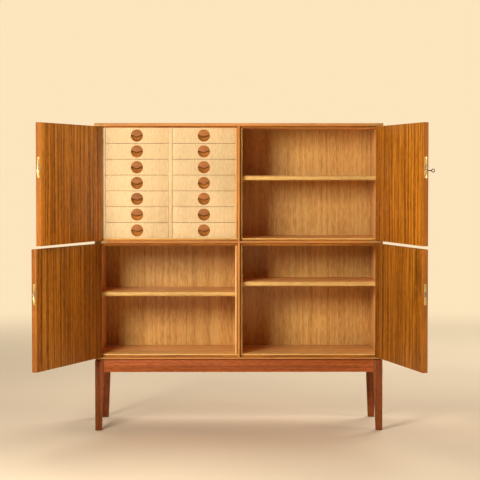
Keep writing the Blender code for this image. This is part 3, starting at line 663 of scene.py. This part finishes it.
def round_pegs(tree, source):
    """Round pegs with a softened end, turned by the facing attribute."""
    radius, length = source["Radius"], source["Length"]
    body = tree.put("GeometryNodeMeshCylinder", {"Vertices": 20, "Radius": radius, "Depth": length})
    body = tree.lifted(body, tree.times(length, 0.5))
    cap = {"Radius Top": tree.times(radius, 0.72), "Depth": tree.times(radius, 0.25)}
    cap = tree.put("GeometryNodeMeshCone", {"Vertices": 20, "Radius Bottom": radius, **cap})
    peg = tree.merged("UNION", body, tree.lifted(cap, length))
    return tree.copies(source["Geometry"], peg, Rotation=tree.facing())


def runner_ladder(tree, source):
    """A ladder of equal drawer runners going down from a point."""
    step = tree.vector(0.0, 0.0, tree.times(source["Pitch"], -1.0))
    points = tree.put("GeometryNodeMeshLine", {"Count": source["Count"], "Offset": step})
    ladder = tree.copies(points, tree.put("GeometryNodeMeshCube", {"Size": source["Size"]}))
    return tree.copies(source["Geometry"], tree.put("GeometryNodeRealizeInstances", {0: ladder}))


# Each tree's maker, and its inputs' names and types
GROWTHS = {
    "Screws": (screw_heads, {"Radius": "Float", "Slot": "Float", "Seed": "Int"}),
    "Pegs": (round_pegs, {"Radius": "Float", "Length": "Float"}),
    "Runners": (runner_ladder, {"Count": "Int", "Pitch": "Float", "Size": "Vector"}),
}


def geometry_tree(name):
    """A geometry tree, made when it is first asked for."""
    group = bpy.data.node_groups.get(name)
    if group:
        return group
    maker, inputs = GROWTHS[name]
    group = bpy.data.node_groups.new(name, "GeometryNodeTree")
    for label, kind in {"Geometry": "Geometry", **inputs, "Material": "Material"}.items():
        group.interface.new_socket(label, in_out="INPUT", socket_type=f"NodeSocket{kind}")
    group.interface.new_socket("Geometry", in_out="OUTPUT", socket_type="NodeSocketGeometry")
    tree = Tree(group)
    source = group.nodes.new("NodeGroupInput").outputs
    real = tree.put("GeometryNodeRealizeInstances", {0: maker(tree, source)})
    dressed = tree.put("GeometryNodeSetMaterial", {"Geometry": real, "Material": source["Material"]})
    tree.connect(dressed, group.nodes.new("NodeGroupOutput").inputs[0])
    return group


def grown(name, points, look, **inputs):
    """The mesh that a tree makes of points, each a place and a facing."""
    data = bpy.data.meshes.new("points")
    data.from_pydata([place for place, _ in points], [], [])
    facing = data.attributes.new("facing", "FLOAT_VECTOR", "POINT")
    for n, (_, way) in enumerate(points):
        facing.data[n].vector = way
    item = linked("points", data)
    change = item.modifiers.new("Grow", "NODES")
    change.node_group = geometry_tree(name)
    inputs["Material"] = look_of(look)
    for socket in change.node_group.interface.items_tree:
        if socket.in_out == "INPUT" and socket.name in inputs:
            change[socket.identifier] = inputs[socket.name]
    result = solved(item)
    item.modifiers.remove(change)
    discard([item])
    bmesh.ops.remove_doubles(result, verts=result.verts, dist=0.000001)
    if not result.faces:
        raise RuntimeError(f"the tree {name} made nothing")
    return result


def screws(name, points, look, seed, radius, body=CASE):
    """Screw heads of one body."""
    width = bpy.context.scene.highboard_fittings.screw_slot
    mesh = grown("Screws", points, look, Radius=radius, Slot=width, Seed=seed)
    finish(name, mesh, (look,), body=body)


# Places of the doors


def door_place(name):
    """A door's side, and the matrix from the door's own axes to the row frame."""
    joint = JOINTS[f"door_{name}_swing"]
    x, y, _ = joint["pos_m"]
    side = 1 if x > 0 else -1
    turn = Matrix.Rotation(-side * radians(joint["range_deg"][0]), 4, "Z")
    return side, Matrix.Translation((x, y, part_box(f"door_{name}")[0].z)) @ turn


def local_box(node, place):
    """A node's corners in a door's own axes."""
    inverse = place.inverted()
    points = [inverse @ vert.co for vert in frame["nodes"][node].data.vertices]
    return [Vector([pick(p[n] for p in points) for n in range(3)]) for pick in (min, max)]


def hinge_place(door, level):
    """A hinge's corners, the way up or down that its pin points, and the heights of its leaf and tip."""
    low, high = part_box(f"hinge_{door}_{level}")
    up = 1 if level == "bottom" else -1
    start, tip = (low.z, high.z)[::up]
    return low, high, up, start, start + up * LEAF_THICK, tip


class HIGHBOARD_OT_stand(Operator):
    """Build the stand: tapered legs and rails in red-brown timber"""

    bl_idname = "highboard.stand"
    bl_label = "Stand"

    def execute(self, context):
        for n, place in enumerate(("front_left", "front_right", "rear_left", "rear_right")):
            node = f"leg_{place}"
            mesh = grain(round_edges(from_node(node), sharp=50.0), Z, X, 40 + 3 * n)
            finish(f"{node}_turned", mesh, ("brown_mahogany",), node)
        for n, (place, along) in enumerate((("front", X), ("rear", X), ("left", Y), ("right", Y))):
            node = f"rail_{place}"
            mesh = grain(round_edges(from_node(node), sharp=50.0), along, Z, 50 + n)
            finish(f"{node}_shaped", mesh, ("red_mahogany",), node)
        return {"FINISHED"}


def mitred_frame(outer, inner, heights, gap=0.0):
    """The outlines of the four sides of a mitred frame, a gap apart, from its four heights."""
    low, floor, ceiling, high = heights
    outlines = {}
    for name, far, near in (("top", high, ceiling), ("bottom", low, floor)):
        outlines[name] = [(gap - outer, far), (outer - gap, far), (inner - gap, near), (gap - inner, near)]
    for name, sign in (("left", -1), ("right", 1)):
        corners = ((outer, low + gap), (inner, floor + gap), (inner, ceiling - gap), (outer, high - gap))
        outlines[name] = [(sign * x, z) for x, z in corners]
    return outlines


class HIGHBOARD_OT_case(Operator):
    """Build the case: mitred shell, middle panel, dividers, back panel and its screws"""

    bl_idname = "highboard.case"
    bl_label = "Case"

    def execute(self, context):
        heights = (BOTTOM_LOW.z, BOTTOM_HIGH.z, TOP_LOW.z, TOP_HIGH.z)
        outlines = mitred_frame(FRAME_HIGH.x, INNER_X, heights, CLEAR / sqrt(2))
        plain, inner, front = "plain_teak", "inner_oak", "front_oak"
        shell = (
            ("side_left", "left", X, Z, 11, (plain, inner)),
            ("side_right", "right", (-1, 0, 0), Z, 12, (plain, inner)),
            ("top_panel", "top", (0, 0, -1), X, 21, (plain, inner, front)),
            ("bottom_panel", "bottom", Z, X, 22, (plain, inner, front)),
        )
        for node, side, inward, along, seed, looks in shell:
            mesh = round_edges(prism(outlines[side], "Y", TOP_LOW.y, TOP_HIGH.y))
            paint(mesh, 1, lambda face, inward=Vector(inward): face.normal.dot(inward) > 0.5)
            # Only the bottom board's front gets the pale oak line along its top edge. The top board's front
            # stays dark teak: both the board's edge and painted shade under the top lipping.
            if side == "bottom":
                edge_strip(mesh, 2, BOTTOM_HIGH.z - LINING, BOTTOM_HIGH.z + PAST_FACE, 2, 0)
            finish_board(node, grain(mesh, along, Y, seed), looks)

        looks = (inner, plain, front)
        low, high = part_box("middle_panel")
        mesh = board(low, high, X, Y, 31)
        # The middle panel's front is pale oak only in a band along its top. Below that it is dark teak: both
        # the board's edge and painted shade under the middle lipping.
        finish_board("middle_panel", edge_strip(mesh, 2, low.z - PAST_FACE, high.z - LINING, 1, 2), looks)
        mesh = board(*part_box("back_panel"), Z, X, 32, shift=(0.13, 0.02, 0.05))
        finish_board("back_panel", mesh, ("back_oak",))
        for n, node in enumerate(("divider_upper", "divider_lower")):
            low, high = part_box(node)
            low.x, high.x = -DIVIDER_HALF, DIVIDER_HALF
            mesh = edge_strip(board(low, high, Z, Y, 35 + n), 0, low.x + LINING, high.x - LINING, 1, 2)
            finish_board(node, mesh, looks)
        for n, (node, rib) in enumerate((("drawer_spacer", 0.0), ("drawer_partition", RUNNER_REACH))):
            low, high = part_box(node)
            low.x += rib
            high.x -= RUNNER_REACH
            finish_board(node, board(low, high, Z, Y, 37 + n), ("pale_oak",))

        inset, back = 0.012, BACK_HIGH.y
        xs = spaced(BACK_LOW.x + inset, BACK_HIGH.x - inset, 6)
        zs = spaced(BACK_LOW.z + inset, BACK_HIGH.z - inset, 5)
        points = [((x, back, z), Y) for x in xs for z in (zs[0], zs[-1])]
        points += [((x, back, z), Y) for x in (xs[0], xs[-1]) for z in zs[1:-1]]
        screws("back_screws", points, "dark_steel", 3, 0.0032)
        return {"FINISHED"}


def long_front_edge(edge):
    """Whether an edge is in front of a lipping and runs along it."""
    return edge.calc_length() > 0.02 and max(vert.co.y for vert in edge.verts) < FRAME_LOW.y + CLOSE


def lipping_cutters(name):
    """Cutters for the hinge leaves and the bolts' strikes in one lipping."""
    cutters = []
    for door in DOORS:
        row = door.split("_")[0]
        for level, end_row in (("top", "upper"), ("bottom", "lower")):
            if name == (level if row == end_row else "middle"):
                low, high, up, start, leaf_z, _ = hinge_place(door, level)
                corner = (high.x + CLEAR, LEAF_SETBACK + LEAF_WIDTH + CLEAR, leaf_z + up * CLEAR)
                cutters.append(box_mesh((low.x - CLEAR, MORTISE_FRONT, start - up * CLEAR), corner))
        if name == f"centre_{row}":
            side, _ = door_place(door)
            low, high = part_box(f"bolt_{door}")
            middle, face = DOOR_THICK / 2, BEAD_CENTRE / 2
            corner = (side * (face - STRIKE_DEPTH), middle - STRIKE_HALF, low.z - PAST_FACE)
            end = (side * (face + CLEAR), middle + STRIKE_HALF, high.z + PAST_FACE)
            cutters.append(box_mesh(corner, end))
    return cutters


class HIGHBOARD_OT_lippings(Operator):
    """Build the proud lippings round and between the doors, with the hinge and strike mortises"""

    bl_idname = "highboard.lippings"
    bl_label = "Front lippings"

    def execute(self, context):
        width = context.scene.highboard_joinery.bead_round
        bottom, top, side = FRAME_LOW.z + BEAD_BOTTOM, FRAME_HIGH.z - BEAD_TOP, FRAME_HIGH.x - BEAD_SIDE
        middle, half, centre = (bottom + top) / 2, BEAD_MIDDLE / 2, BEAD_CENTRE / 2
        under, over = middle - half, middle + half
        outlines = mitred_frame(FRAME_HIGH.x, side, (FRAME_LOW.z, bottom, top, FRAME_HIGH.z))
        outlines["middle"] = [(-side, under), (side, under), (side, over), (-side, over)]
        outlines["centre_upper"] = [(-centre, over), (centre, over), (centre, top), (-centre, top)]
        outlines["centre_lower"] = [(-centre, bottom), (centre, bottom), (centre, under), (-centre, under)]
        for n, (name, outline) in enumerate(outlines.items()):
            mesh = round_edges(prism(outline, "Y", FRAME_LOW.y, FRAME_HIGH.y), width, 3, keep=long_front_edge)
            along, across = (X, Z) if name in ("top", "bottom", "middle") else (Z, X)
            mesh = grain(carve(mesh, lipping_cutters(name)), along, across, 60 + n)
            finish(f"lipping_{name}", mesh, ("solid_teak",), "front_frame")
        return {"FINISHED"}


def door_cutters(name, side, place, low, high):
    """Cutters for a door's lock, its keyhole and its two hinge pins."""
    lock_low, lock_high = local_box(f"lock_{name}", place)
    free, inner = (low.x, high.x)[::side][0], (lock_low.x, lock_high.x)[::side][1]
    front, back = lock_low.y - CLEAR, lock_high.y + CLEAR
    plate, half = side * (PLATE_THICK + CLEAR), LOCK_HALF + CLEAR
    middle = (lock_low + lock_high) / 2
    x, z, face = free + side * KEYHOLE_INSET, middle.z - KEYHOLE_DROP, low.y - PAST_FACE
    cutters = [
        box_mesh((free - side * CLEAR, front, lock_low.z - CLEAR), (free + plate, back, lock_high.z + CLEAR)),
        box_mesh((free + plate / 2, front, middle.z - half), (inner + side * CLEAR, back, middle.z + half)),
        disc((x, z), KEYHOLE_RADIUS, "Y", face, middle.y, 24),
        box_mesh((x - KEYHOLE_HALF, face, z - KEYHOLE_SLOT), (x + KEYHOLE_HALF, middle.y, z)),
    ]
    reach = PIN_REACH + CLEAR
    for start, end in ((low.z - CLEAR, low.z + reach), (high.z - reach, high.z + CLEAR)):
        cutters.append(disc((0.0, 0.0), PIN_RADIUS + CLEAR, "Z", start, end, 16))
    return cutters


class HIGHBOARD_OT_doors(Operator):
    """Build the four doors: veneered panels with solid edges, cut for locks and pins"""

    bl_idname = "highboard.doors"
    bl_label = "Doors"

    def execute(self, context):
        shifts = ((0.4, -0.17, 0.07), (1.9, 0.30, 0.02), (-0.2, 0.245, 0.012), (2.7, 0.52, 0.04))
        for n, (name, shift) in enumerate(zip(DOORS, shifts)):
            node = f"door_{name}"
            side, place = door_place(name)
            low, high = local_box(node, place)
            mesh = paint(round_edges(box_mesh(low, high)), 1, lambda face: abs(face.normal.y) < 0.9)
            mesh = carve(mesh, door_cutters(name, side, place, low, high), 1)
            veneer = "bright_teak" if name.startswith("upper") else "striped_teak"
            looks = (veneer, "door_edging")
            finish(f"{node}_panel", grain(mesh, Z, X, 70 + n, shift), looks, node, node, place)
        return {"FINISHED"}


class HIGHBOARD_OT_locks(Operator):
    """Build the brass locks with their screws, and dress the bolts"""

    bl_idname = "highboard.locks"
    bl_label = "Locks"

    def execute(self, context):
        radius = context.scene.highboard_fittings.screw_radius
        proud, inset = radius * 0.22 - 0.0001, 0.006
        for n, name in enumerate(DOORS):
            node, body = f"lock_{name}", f"door_{name}"
            side, place = door_place(name)
            low, high = local_box(node, place)
            face = (low.x, high.x)[::side][0]

            def at_rim(edge, face=face):
                """Whether an edge lies in the plate's outer face."""
                return all(abs(vert.co.x - face) < CLOSE for vert in edge.verts)

            mesh = round_edges(from_node(node, place), FINE_ROUND, 1, 60.0, at_rim)
            finish(f"{node}_case", mesh, ("satin_brass",), node, body, place)
            x, y, way = face + side * proud, (low.y + high.y) / 2, place.to_3x3() @ Vector((-side, 0, 0))
            points = [(place @ Vector((x, y, z)), way) for z in (low.z + inset, high.z - inset)]
            screws(f"{node}_screws", points, "satin_brass", 10 + n, radius, body)
            bolt = frame["nodes"][f"bolt_{name}"].data
            bolt.materials.clear()
            bolt.materials.append(look_of("dark_steel"))
        return {"FINISHED"}


class HIGHBOARD_OT_key(Operator):
    """Build the key in the upper right door"""

    bl_idname = "highboard.key"
    bl_label = "Key"

    def execute(self, context):
        _, place = door_place("upper_right")
        low, high = local_box("key", place)
        x, z, end = (low.x + high.x) / 2, JOINTS["key_turn"]["pos_m"][2] - place.translation.z, high.y
        bow_radius, bow_hole, bow_half, shank = 0.0076, 0.0041, 0.0013, 0.0022
        bit_half, bit_start, bit_reach, ward_start = 0.001, 0.0054, 0.0051, 0.0036
        bow_y = low.y + bow_radius
        neck = bow_y + bow_radius - 0.0008
        collar = ((0.0, neck), (0.82, neck), (0.82, neck + 0.0012), (1.25, neck + 0.0016))
        waist = ((1.25, neck + 0.0028), (0.86, neck + 0.0033), (0.86, -0.0052))
        tail = ((1.3, -0.0048), (1.3, -0.0036), (1.0, -0.0032), (1.0, end - 0.0004), (0.8, end), (0.0, end))
        profile = [(shank * share, y) for share, y in (*collar, *waist, *tail)]
        rod = lathe(profile, Matrix.Translation((x, 0.0, z)) @ ALONG_Y, 28)
        middle, thick = (bow_radius + bow_hole) / 2, (bow_radius - bow_hole) / 2
        profile = [(middle + thick * u, bow_half * v) for u, v in circle(1.0, 12)]
        ring = lathe(profile, Matrix(((0, 0, 1, x), (1, 0, 0, bow_y), (0, 1, 0, z), (0, 0, 0, 1))), 40, True)
        tip = z - bit_reach
        bit = soft_box((x - bit_half, end - bit_start, tip), (x + bit_half, end - 0.0004, z), 0.0002, 1)
        corner = (x + 2 * bit_half, end - ward_start + 0.001, tip + 0.0014)
        ward = box_mesh((x - 2 * bit_half, end - ward_start, tip - 0.001), corner)
        mesh = join([rod, ring, carve(bit, [ward])])
        finish("key_turned", mesh, ("nickel",), "key", "key", place)
        return {"FINISHED"}


class HIGHBOARD_OT_hinges(Operator):
    """Build the pivot hinges let into the lippings, with their screws"""

    bl_idname = "highboard.hinges"
    bl_label = "Hinges"

    def execute(self, context):
        back, points = LEAF_SETBACK + LEAF_WIDTH, []
        for name in DOORS:
            side, place = door_place(name)
            axis = Matrix.Translation((*place.translation.xy, 0.0))
            for level in ("bottom", "top"):
                low, high, up, start, leaf_z, tip = hinge_place(name, level)
                root, end = leaf_z - up * 0.0005, tip - up * 0.0004
                pin = [(PIN_RADIUS, root), (PIN_RADIUS, end), (PIN_RADIUS * 0.7, tip)]
                leaf = soft_box((low.x, LEAF_SETBACK, start), (high.x, back, leaf_z), FINE_ROUND, 1)
                solids = [leaf, lathe([(0.0, root), *pin, (0.0, tip)], axis, 20)]
                if up > 0:
                    foot, head, wide = leaf_z - 0.0004, leaf_z + 0.0015, 0.0023
                    collar = [(wide, foot), (wide, head - 0.0002), (wide - 0.0002, head)]
                    solids.append(lathe([(0.0, foot), *collar, (0.0, head)], axis, 20))
                node = f"hinge_{name}_{level}"
                finish(f"{node}_leaf", join(solids), ("aged_brass",), node)
                near, far = (high.x, low.x)[::side]
                for share in (0.28, 0.82):
                    spot = (near + (far - near) * share, back - LEAF_WIDTH / 2 + 0.001, root)
                    points.append((spot, (0, 0, up)))
        radius = context.scene.highboard_fittings.screw_radius * 0.8
        screws("hinge_screws", points, "aged_brass", 21, radius)
        return {"FINISHED"}


def drawer_mesh(low, high, column, row, height):
    """A drawer's boards: front, sides, back and floor, round an origin at its front's lower middle."""
    side, back, floor, lift, drop, tongue = 0.010, 0.009, 0.004, 0.005, 0.006, 0.0002
    seed = 100 + 20 * column + row
    top, start, rear = high.z - drop, DRAWER_FRONT - tongue, high.y - back
    width = bpy.context.scene.highboard_joinery.arris * 0.8
    front = soft_box(low, (high.x, DRAWER_FRONT, high.z), width)
    front = carve(front, [disc((0.0, (low.z + high.z) / 2), PULL_RADIUS, "Y", -PAST_FACE, PULL_THICK, 64)])
    boards = [grain(front, Z, X, seed, (0.35 + height, 0.62 + 0.31 * column, 0.20))]
    for sign in (-1, 1):
        wall = soft_box((sign * (high.x - side), start, low.z), (sign * high.x, high.y, top), SOFT_ROUND)
        corner = (sign * (high.x - RUNNER_REACH), DRAWER_FRONT + 0.0022, RUNNER_LIFT - CLEAR)
        beyond = (sign * (high.x + 0.01), high.y + 0.01, RUNNER_LIFT + RUNNER_HEIGHT + CLEAR)
        boards.append(grain(carve(wall, [box_mesh(corner, beyond)]), Y, Z, seed + 400 + sign))
    inner = high.x - side + 0.0001
    wall = soft_box((-inner, rear, low.z), (inner, high.y - tongue, top), 0.0004, 1)
    boards.append(grain(wall, X, Z, seed + 500))
    base = box_mesh((-inner, start, lift), (inner, rear + 0.0001, lift + floor))
    boards.append(grain(paint(base, 1), X, Y, seed + 600))
    return join(boards)


def pull_mesh(lip, depth):
    """A turned disc with a round bowl that runs back under a wavy lip, with painted shade on the bowl close to
    the lip.
    """
    bowl, over, free, proud = PULL_RADIUS - PULL_RIM, 0.004, 5e-5, 0.0002
    lowest, rise, shade, reach = -0.0034, 0.0068, 0.0075, PULL_RADIUS + over
    blank = disc((0.0, 0.0), PULL_RADIUS - free, "Y", -proud, PULL_THICK, 64)
    blank = round_edges(blank, 0.0005, 2, 60.0)
    ball = (bowl**2 + depth**2) / (2 * depth)
    turns = spaced(asin(min(1.0, bowl / ball)), 0.0, 17)[1:-1]
    bottom = [(ball * sin(turn), depth - ball + ball * cos(turn)) for turn in turns]
    hollow = lathe([(0.0, -over), (bowl, -over), (bowl, 0.0), *bottom, (0.0, depth)], ALONG_Y, 56)

    def wave(x):
        """The lip's lower edge: lowest in the middle, and rising to both sides."""
        return lowest + rise * (1 - cos(pi * min(1.0, abs(x) / bowl))) / 2

    outline = [*((x, wave(x)) for x in spaced(-reach, reach, 29)), (reach, reach), (-reach, reach)]
    shape = carve(blank, [carve(hollow, [prism(outline, "Y", -over - 0.002, lip)])], 1)
    # Painted shade on the bowl: full at the lip's lower edge, and gone a few millimetres below it.
    layer = shape.verts.layers.float.new("painted_shade")
    for vert in shape.verts:
        if vert.co.y > lip / 2:
            vert[layer] = min(1.0, max(0.0, 1.0 - (wave(vert.co.x) - vert.co.z) / shade))
    return shape


class HIGHBOARD_OT_drawers(Operator):
    """Build fourteen drawers with turned finger pulls"""

    bl_idname = "highboard.drawers"
    bl_label = "Drawers"

    def execute(self, context):
        joinery = context.scene.highboard_joinery
        pull = pull_mesh(joinery.pull_lip, joinery.pull_depth)
        for c, column in enumerate(COLUMNS):
            for row in range(ROWS):
                name = f"{column}_{row + 1}"
                node = f"drawer_{name}"
                low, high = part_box(node)
                origin = Vector(((low.x + high.x) / 2, low.y, low.z))
                mesh = drawer_mesh(low - origin, high - origin, c, row, origin.z)
                place = Matrix.Translation(origin)
                finish(f"{node}_box", mesh, ("pale_oak", "inner_oak"), node, node, place)
                place = Matrix.Translation(origin + Vector((0, 0, (high.z - low.z) / 2)))
                mesh = grain(pull.copy(), X, Z, 300 + 20 * c + row)
                finish(f"pull_{name}", mesh, ("pull_teak", "bowl_teak"), None, node, place)
        pull.free()
        return {"FINISHED"}


class HIGHBOARD_OT_shelves(Operator):
    """Build the three shelves with their rounded nosings, and the pegs under them"""

    bl_idname = "highboard.shelves"
    bl_label = "Shelves"

    def execute(self, context):
        strip, nose = context.scene.highboard_joinery.nosing, 0.007
        curve = [(nose - nose * cos(turn), nose - nose * sin(turn)) for turn in spaced(0.0, pi / 2, 9)]
        pegs = []
        for n, name in enumerate(("upper_right", "lower_left", "lower_right")):
            low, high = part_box(f"shelf_{name}")
            lower = [(low.y + y, low.z + z) for y, z in reversed(curve)]
            upper = [(low.y + y, high.z - z) for y, z in curve]
            outline = [*lower, *upper, (low.y + strip, high.z), (low.y + strip, low.z)]
            edge = grain(paint(prism(outline, "X", low.x, high.x), 1), X, Z, 80 + n)
            body = board((low.x, low.y + strip, low.z), high, X, Y, 84 + n, 0.0005)
            finish_board(f"shelf_{name}", join([edge, body]), ("inner_oak", "nosing_oak"))
            side, z = 1 if high.x > 0 else -1, low.z - CLEAR - PEG_RADIUS
            for y in (low.y + PEG_INSET, high.y - PEG_INSET):
                pegs.append(((side * (DIVIDER_HALF - PAST_FACE), y, z), (side, 0, 0)))
                pegs.append(((side * (INNER_X + PAST_FACE), y, z), (-side, 0, 0)))
        mesh = grown("Pegs", pegs, "satin_brass", Radius=PEG_RADIUS, Length=PEG_LENGTH)
        finish("shelf_pegs", mesh, ("satin_brass",))
        return {"FINISHED"}


class HIGHBOARD_OT_runners(Operator):
    """Build the ladders of drawer runners"""

    bl_idname = "highboard.runners"
    bl_label = "Drawer runners"

    def execute(self, context):
        low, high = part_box("drawer_left_1")
        wall_low, wall_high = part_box("drawer_partition")
        start, half = low.y + DRAWER_FRONT + 0.003, RUNNER_REACH / 2
        y, z = (start + high.y) / 2, low.z + RUNNER_LIFT + RUNNER_HEIGHT / 2
        places = {
            "far_left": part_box("drawer_spacer")[1].x - half,
            "left": wall_low.x + half,
            "right": wall_high.x - half,
            "far_right": -DIVIDER_HALF - half,
        }
        size, pitch = (RUNNER_REACH, high.y - start, RUNNER_HEIGHT), low.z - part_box("drawer_left_2")[0].z
        for n, (name, x) in enumerate(places.items()):
            mesh = grown("Runners", [((x, y, z), Z)], "inner_oak", Count=ROWS, Pitch=pitch, Size=size)
            grain(round_edges(mesh, SOFT_ROUND, 1), Y, Z, 90 + n)
            finish(f"runners_{name}", mesh, ("inner_oak",))
        return {"FINISHED"}


def floor_disc(stage):
    """A round floor that fades into the background."""
    look, tree, shader = new_material("floor_paint")
    place = tree.put("ShaderNodeTexCoord", output="Object")
    cloud = tree.curve(tree.noise(place, (1.1, 1.1, 1.1)), 0.3, 0.7)
    shade = tree.mix(cloud, rgba(stage.floor), rgba(scaled(stage.floor, 0.96)))
    tree.connect(shade, shader["Base Color"])
    shader["Roughness"].default_value = 0.7
    glow = tree.put("ShaderNodeEmission", {"Color": rgba(stage.backdrop)})
    far = tree.curve(tree.length(place), 2.0, 6.5)
    fade = tree.put("ShaderNodeMixShader", {0: far, 1: shader["Roughness"].node.outputs[0], 2: glow})
    tree.connect(fade, look.node_tree.nodes["Material Output"].inputs[0])
    data = bpy.data.meshes.new("floor")
    data.from_pydata([(x, y, 0.0) for x, y in circle(14, 64)], [], [range(64)])
    data.materials.append(look)
    linked("floor", data)


def background(world, stage):
    """A plain colour behind the floor, and a weak light from all sides."""
    world.use_nodes = True
    world.node_tree.nodes.clear()
    tree = Tree(world.node_tree)
    light = tree.put("ShaderNodeBackground", {"Color": (1.0, 0.93, 0.82, 1.0), "Strength": stage.ambient})
    shown = tree.put("ShaderNodeBackground", {"Color": rgba(stage.backdrop), "Strength": 1.0})
    glossy = tree.times(tree.put("ShaderNodeLightPath", output="Is Glossy Ray"), 0.5)
    seen = tree.math("MAXIMUM", tree.put("ShaderNodeLightPath", output="Is Camera Ray"), glossy)
    blend = tree.put("ShaderNodeMixShader", {0: seen, 1: light, 2: shown})
    tree.connect(blend, world.node_tree.nodes.new("ShaderNodeOutputWorld").inputs[0])


class HIGHBOARD_OT_stage(Operator):
    """Build the floor, the background, the lamps and the camera"""

    bl_idname = "highboard.stage"
    bl_label = "Stage"

    def execute(self, context):
        scene = context.scene
        stage = scene.highboard_stage
        scene.view_settings.view_transform = "Standard"
        floor_disc(stage)
        scene.world = bpy.data.worlds.new("studio")
        background(scene.world, stage)
        middle, fill = Vector((0.0, 0.1, 0.75)), stage.fill_power
        lamps = (
            ("key_lamp", (-1.27, -2.75, 1.60), 0.85, stage.key_power, (1.0, 0.96, 0.90)),
            ("fill_lamp", (4.10, -1.25, 1.60), 2.2, fill, (1.0, 0.95, 0.88)),
            ("rear_lamp", (2.00, 3.60, 3.05), 2.4, fill * 2.0, (1.0, 0.97, 0.94)),
            ("top_lamp", (-0.85, 1.90, 4.45), 2.4, fill, (1.0, 0.98, 0.96)),
        )
        for name, place, size, power, colour in lamps:
            lamp = bpy.data.lights.new(name, "AREA")
            lamp.shape = "SQUARE"
            lamp.size = size
            lamp.energy = power
            lamp.color = colour
            item = linked(name, lamp)
            item.location = place
            item.rotation_euler = (item.location - middle).to_track_quat("Z", "Y").to_euler()
            item.visible_camera = False
            item.visible_glossy = item.location.y < 0
        camera = bpy.data.cameras.new("camera")
        camera.sensor_width = 36.0
        camera.lens = 124.54
        scene.camera = linked("camera", camera)
        scene.camera.location = (-0.0386, -6.9031, 1.0655)
        scene.camera.rotation_euler = Euler((radians(90 - 2.23), 0.0, radians(-0.36)))
        return {"FINISHED"}


class HIGHBOARD_PT_panel(Panel):
    """The highboard's pieces and settings"""

    bl_label = "Highboard"
    bl_idname = "HIGHBOARD_PT_panel"
    bl_space_type = "VIEW_3D"
    bl_region_type = "UI"
    bl_category = "Highboard"

    def draw(self, context):
        for group in GROUPS:
            box = self.layout.box()
            box.label(text=group.split("_")[1].title())
            settings = getattr(context.scene, group)
            for name in settings.bl_rna.properties.keys():
                if name not in ("rna_type", "name"):
                    box.prop(settings, name)
        for operator in OPERATORS:
            self.layout.operator(operator.bl_idname)


GROUPS = {
    "highboard_timber": TimberSettings,
    "highboard_joinery": JoinerySettings,
    "highboard_fittings": FittingSettings,
    "highboard_stage": StageSettings,
}
OPERATORS = (
    HIGHBOARD_OT_stage,
    HIGHBOARD_OT_stand,
    HIGHBOARD_OT_case,
    HIGHBOARD_OT_lippings,
    HIGHBOARD_OT_doors,
    HIGHBOARD_OT_locks,
    HIGHBOARD_OT_key,
    HIGHBOARD_OT_hinges,
    HIGHBOARD_OT_drawers,
    HIGHBOARD_OT_shelves,
    HIGHBOARD_OT_runners,
)


def register():
    """Register the settings, the operators and the panel."""
    for item in (*GROUPS.values(), *OPERATORS, HIGHBOARD_PT_panel):
        bpy.utils.register_class(item)
    for name, settings in GROUPS.items():
        setattr(bpy.types.Scene, name, PointerProperty(type=settings))


def unregister():
    """Take them all out again."""
    for name in GROUPS:
        delattr(bpy.types.Scene, name)
    for item in (HIGHBOARD_PT_panel, *reversed(OPERATORS), *reversed(GROUPS.values())):
        bpy.utils.unregister_class(item)


def main():
    """Register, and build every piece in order."""
    register()
    for operator in OPERATORS:
        group, name = operator.bl_idname.split(".")
        getattr(getattr(bpy.ops, group), name)()


if __name__ == "__main__":
    main()
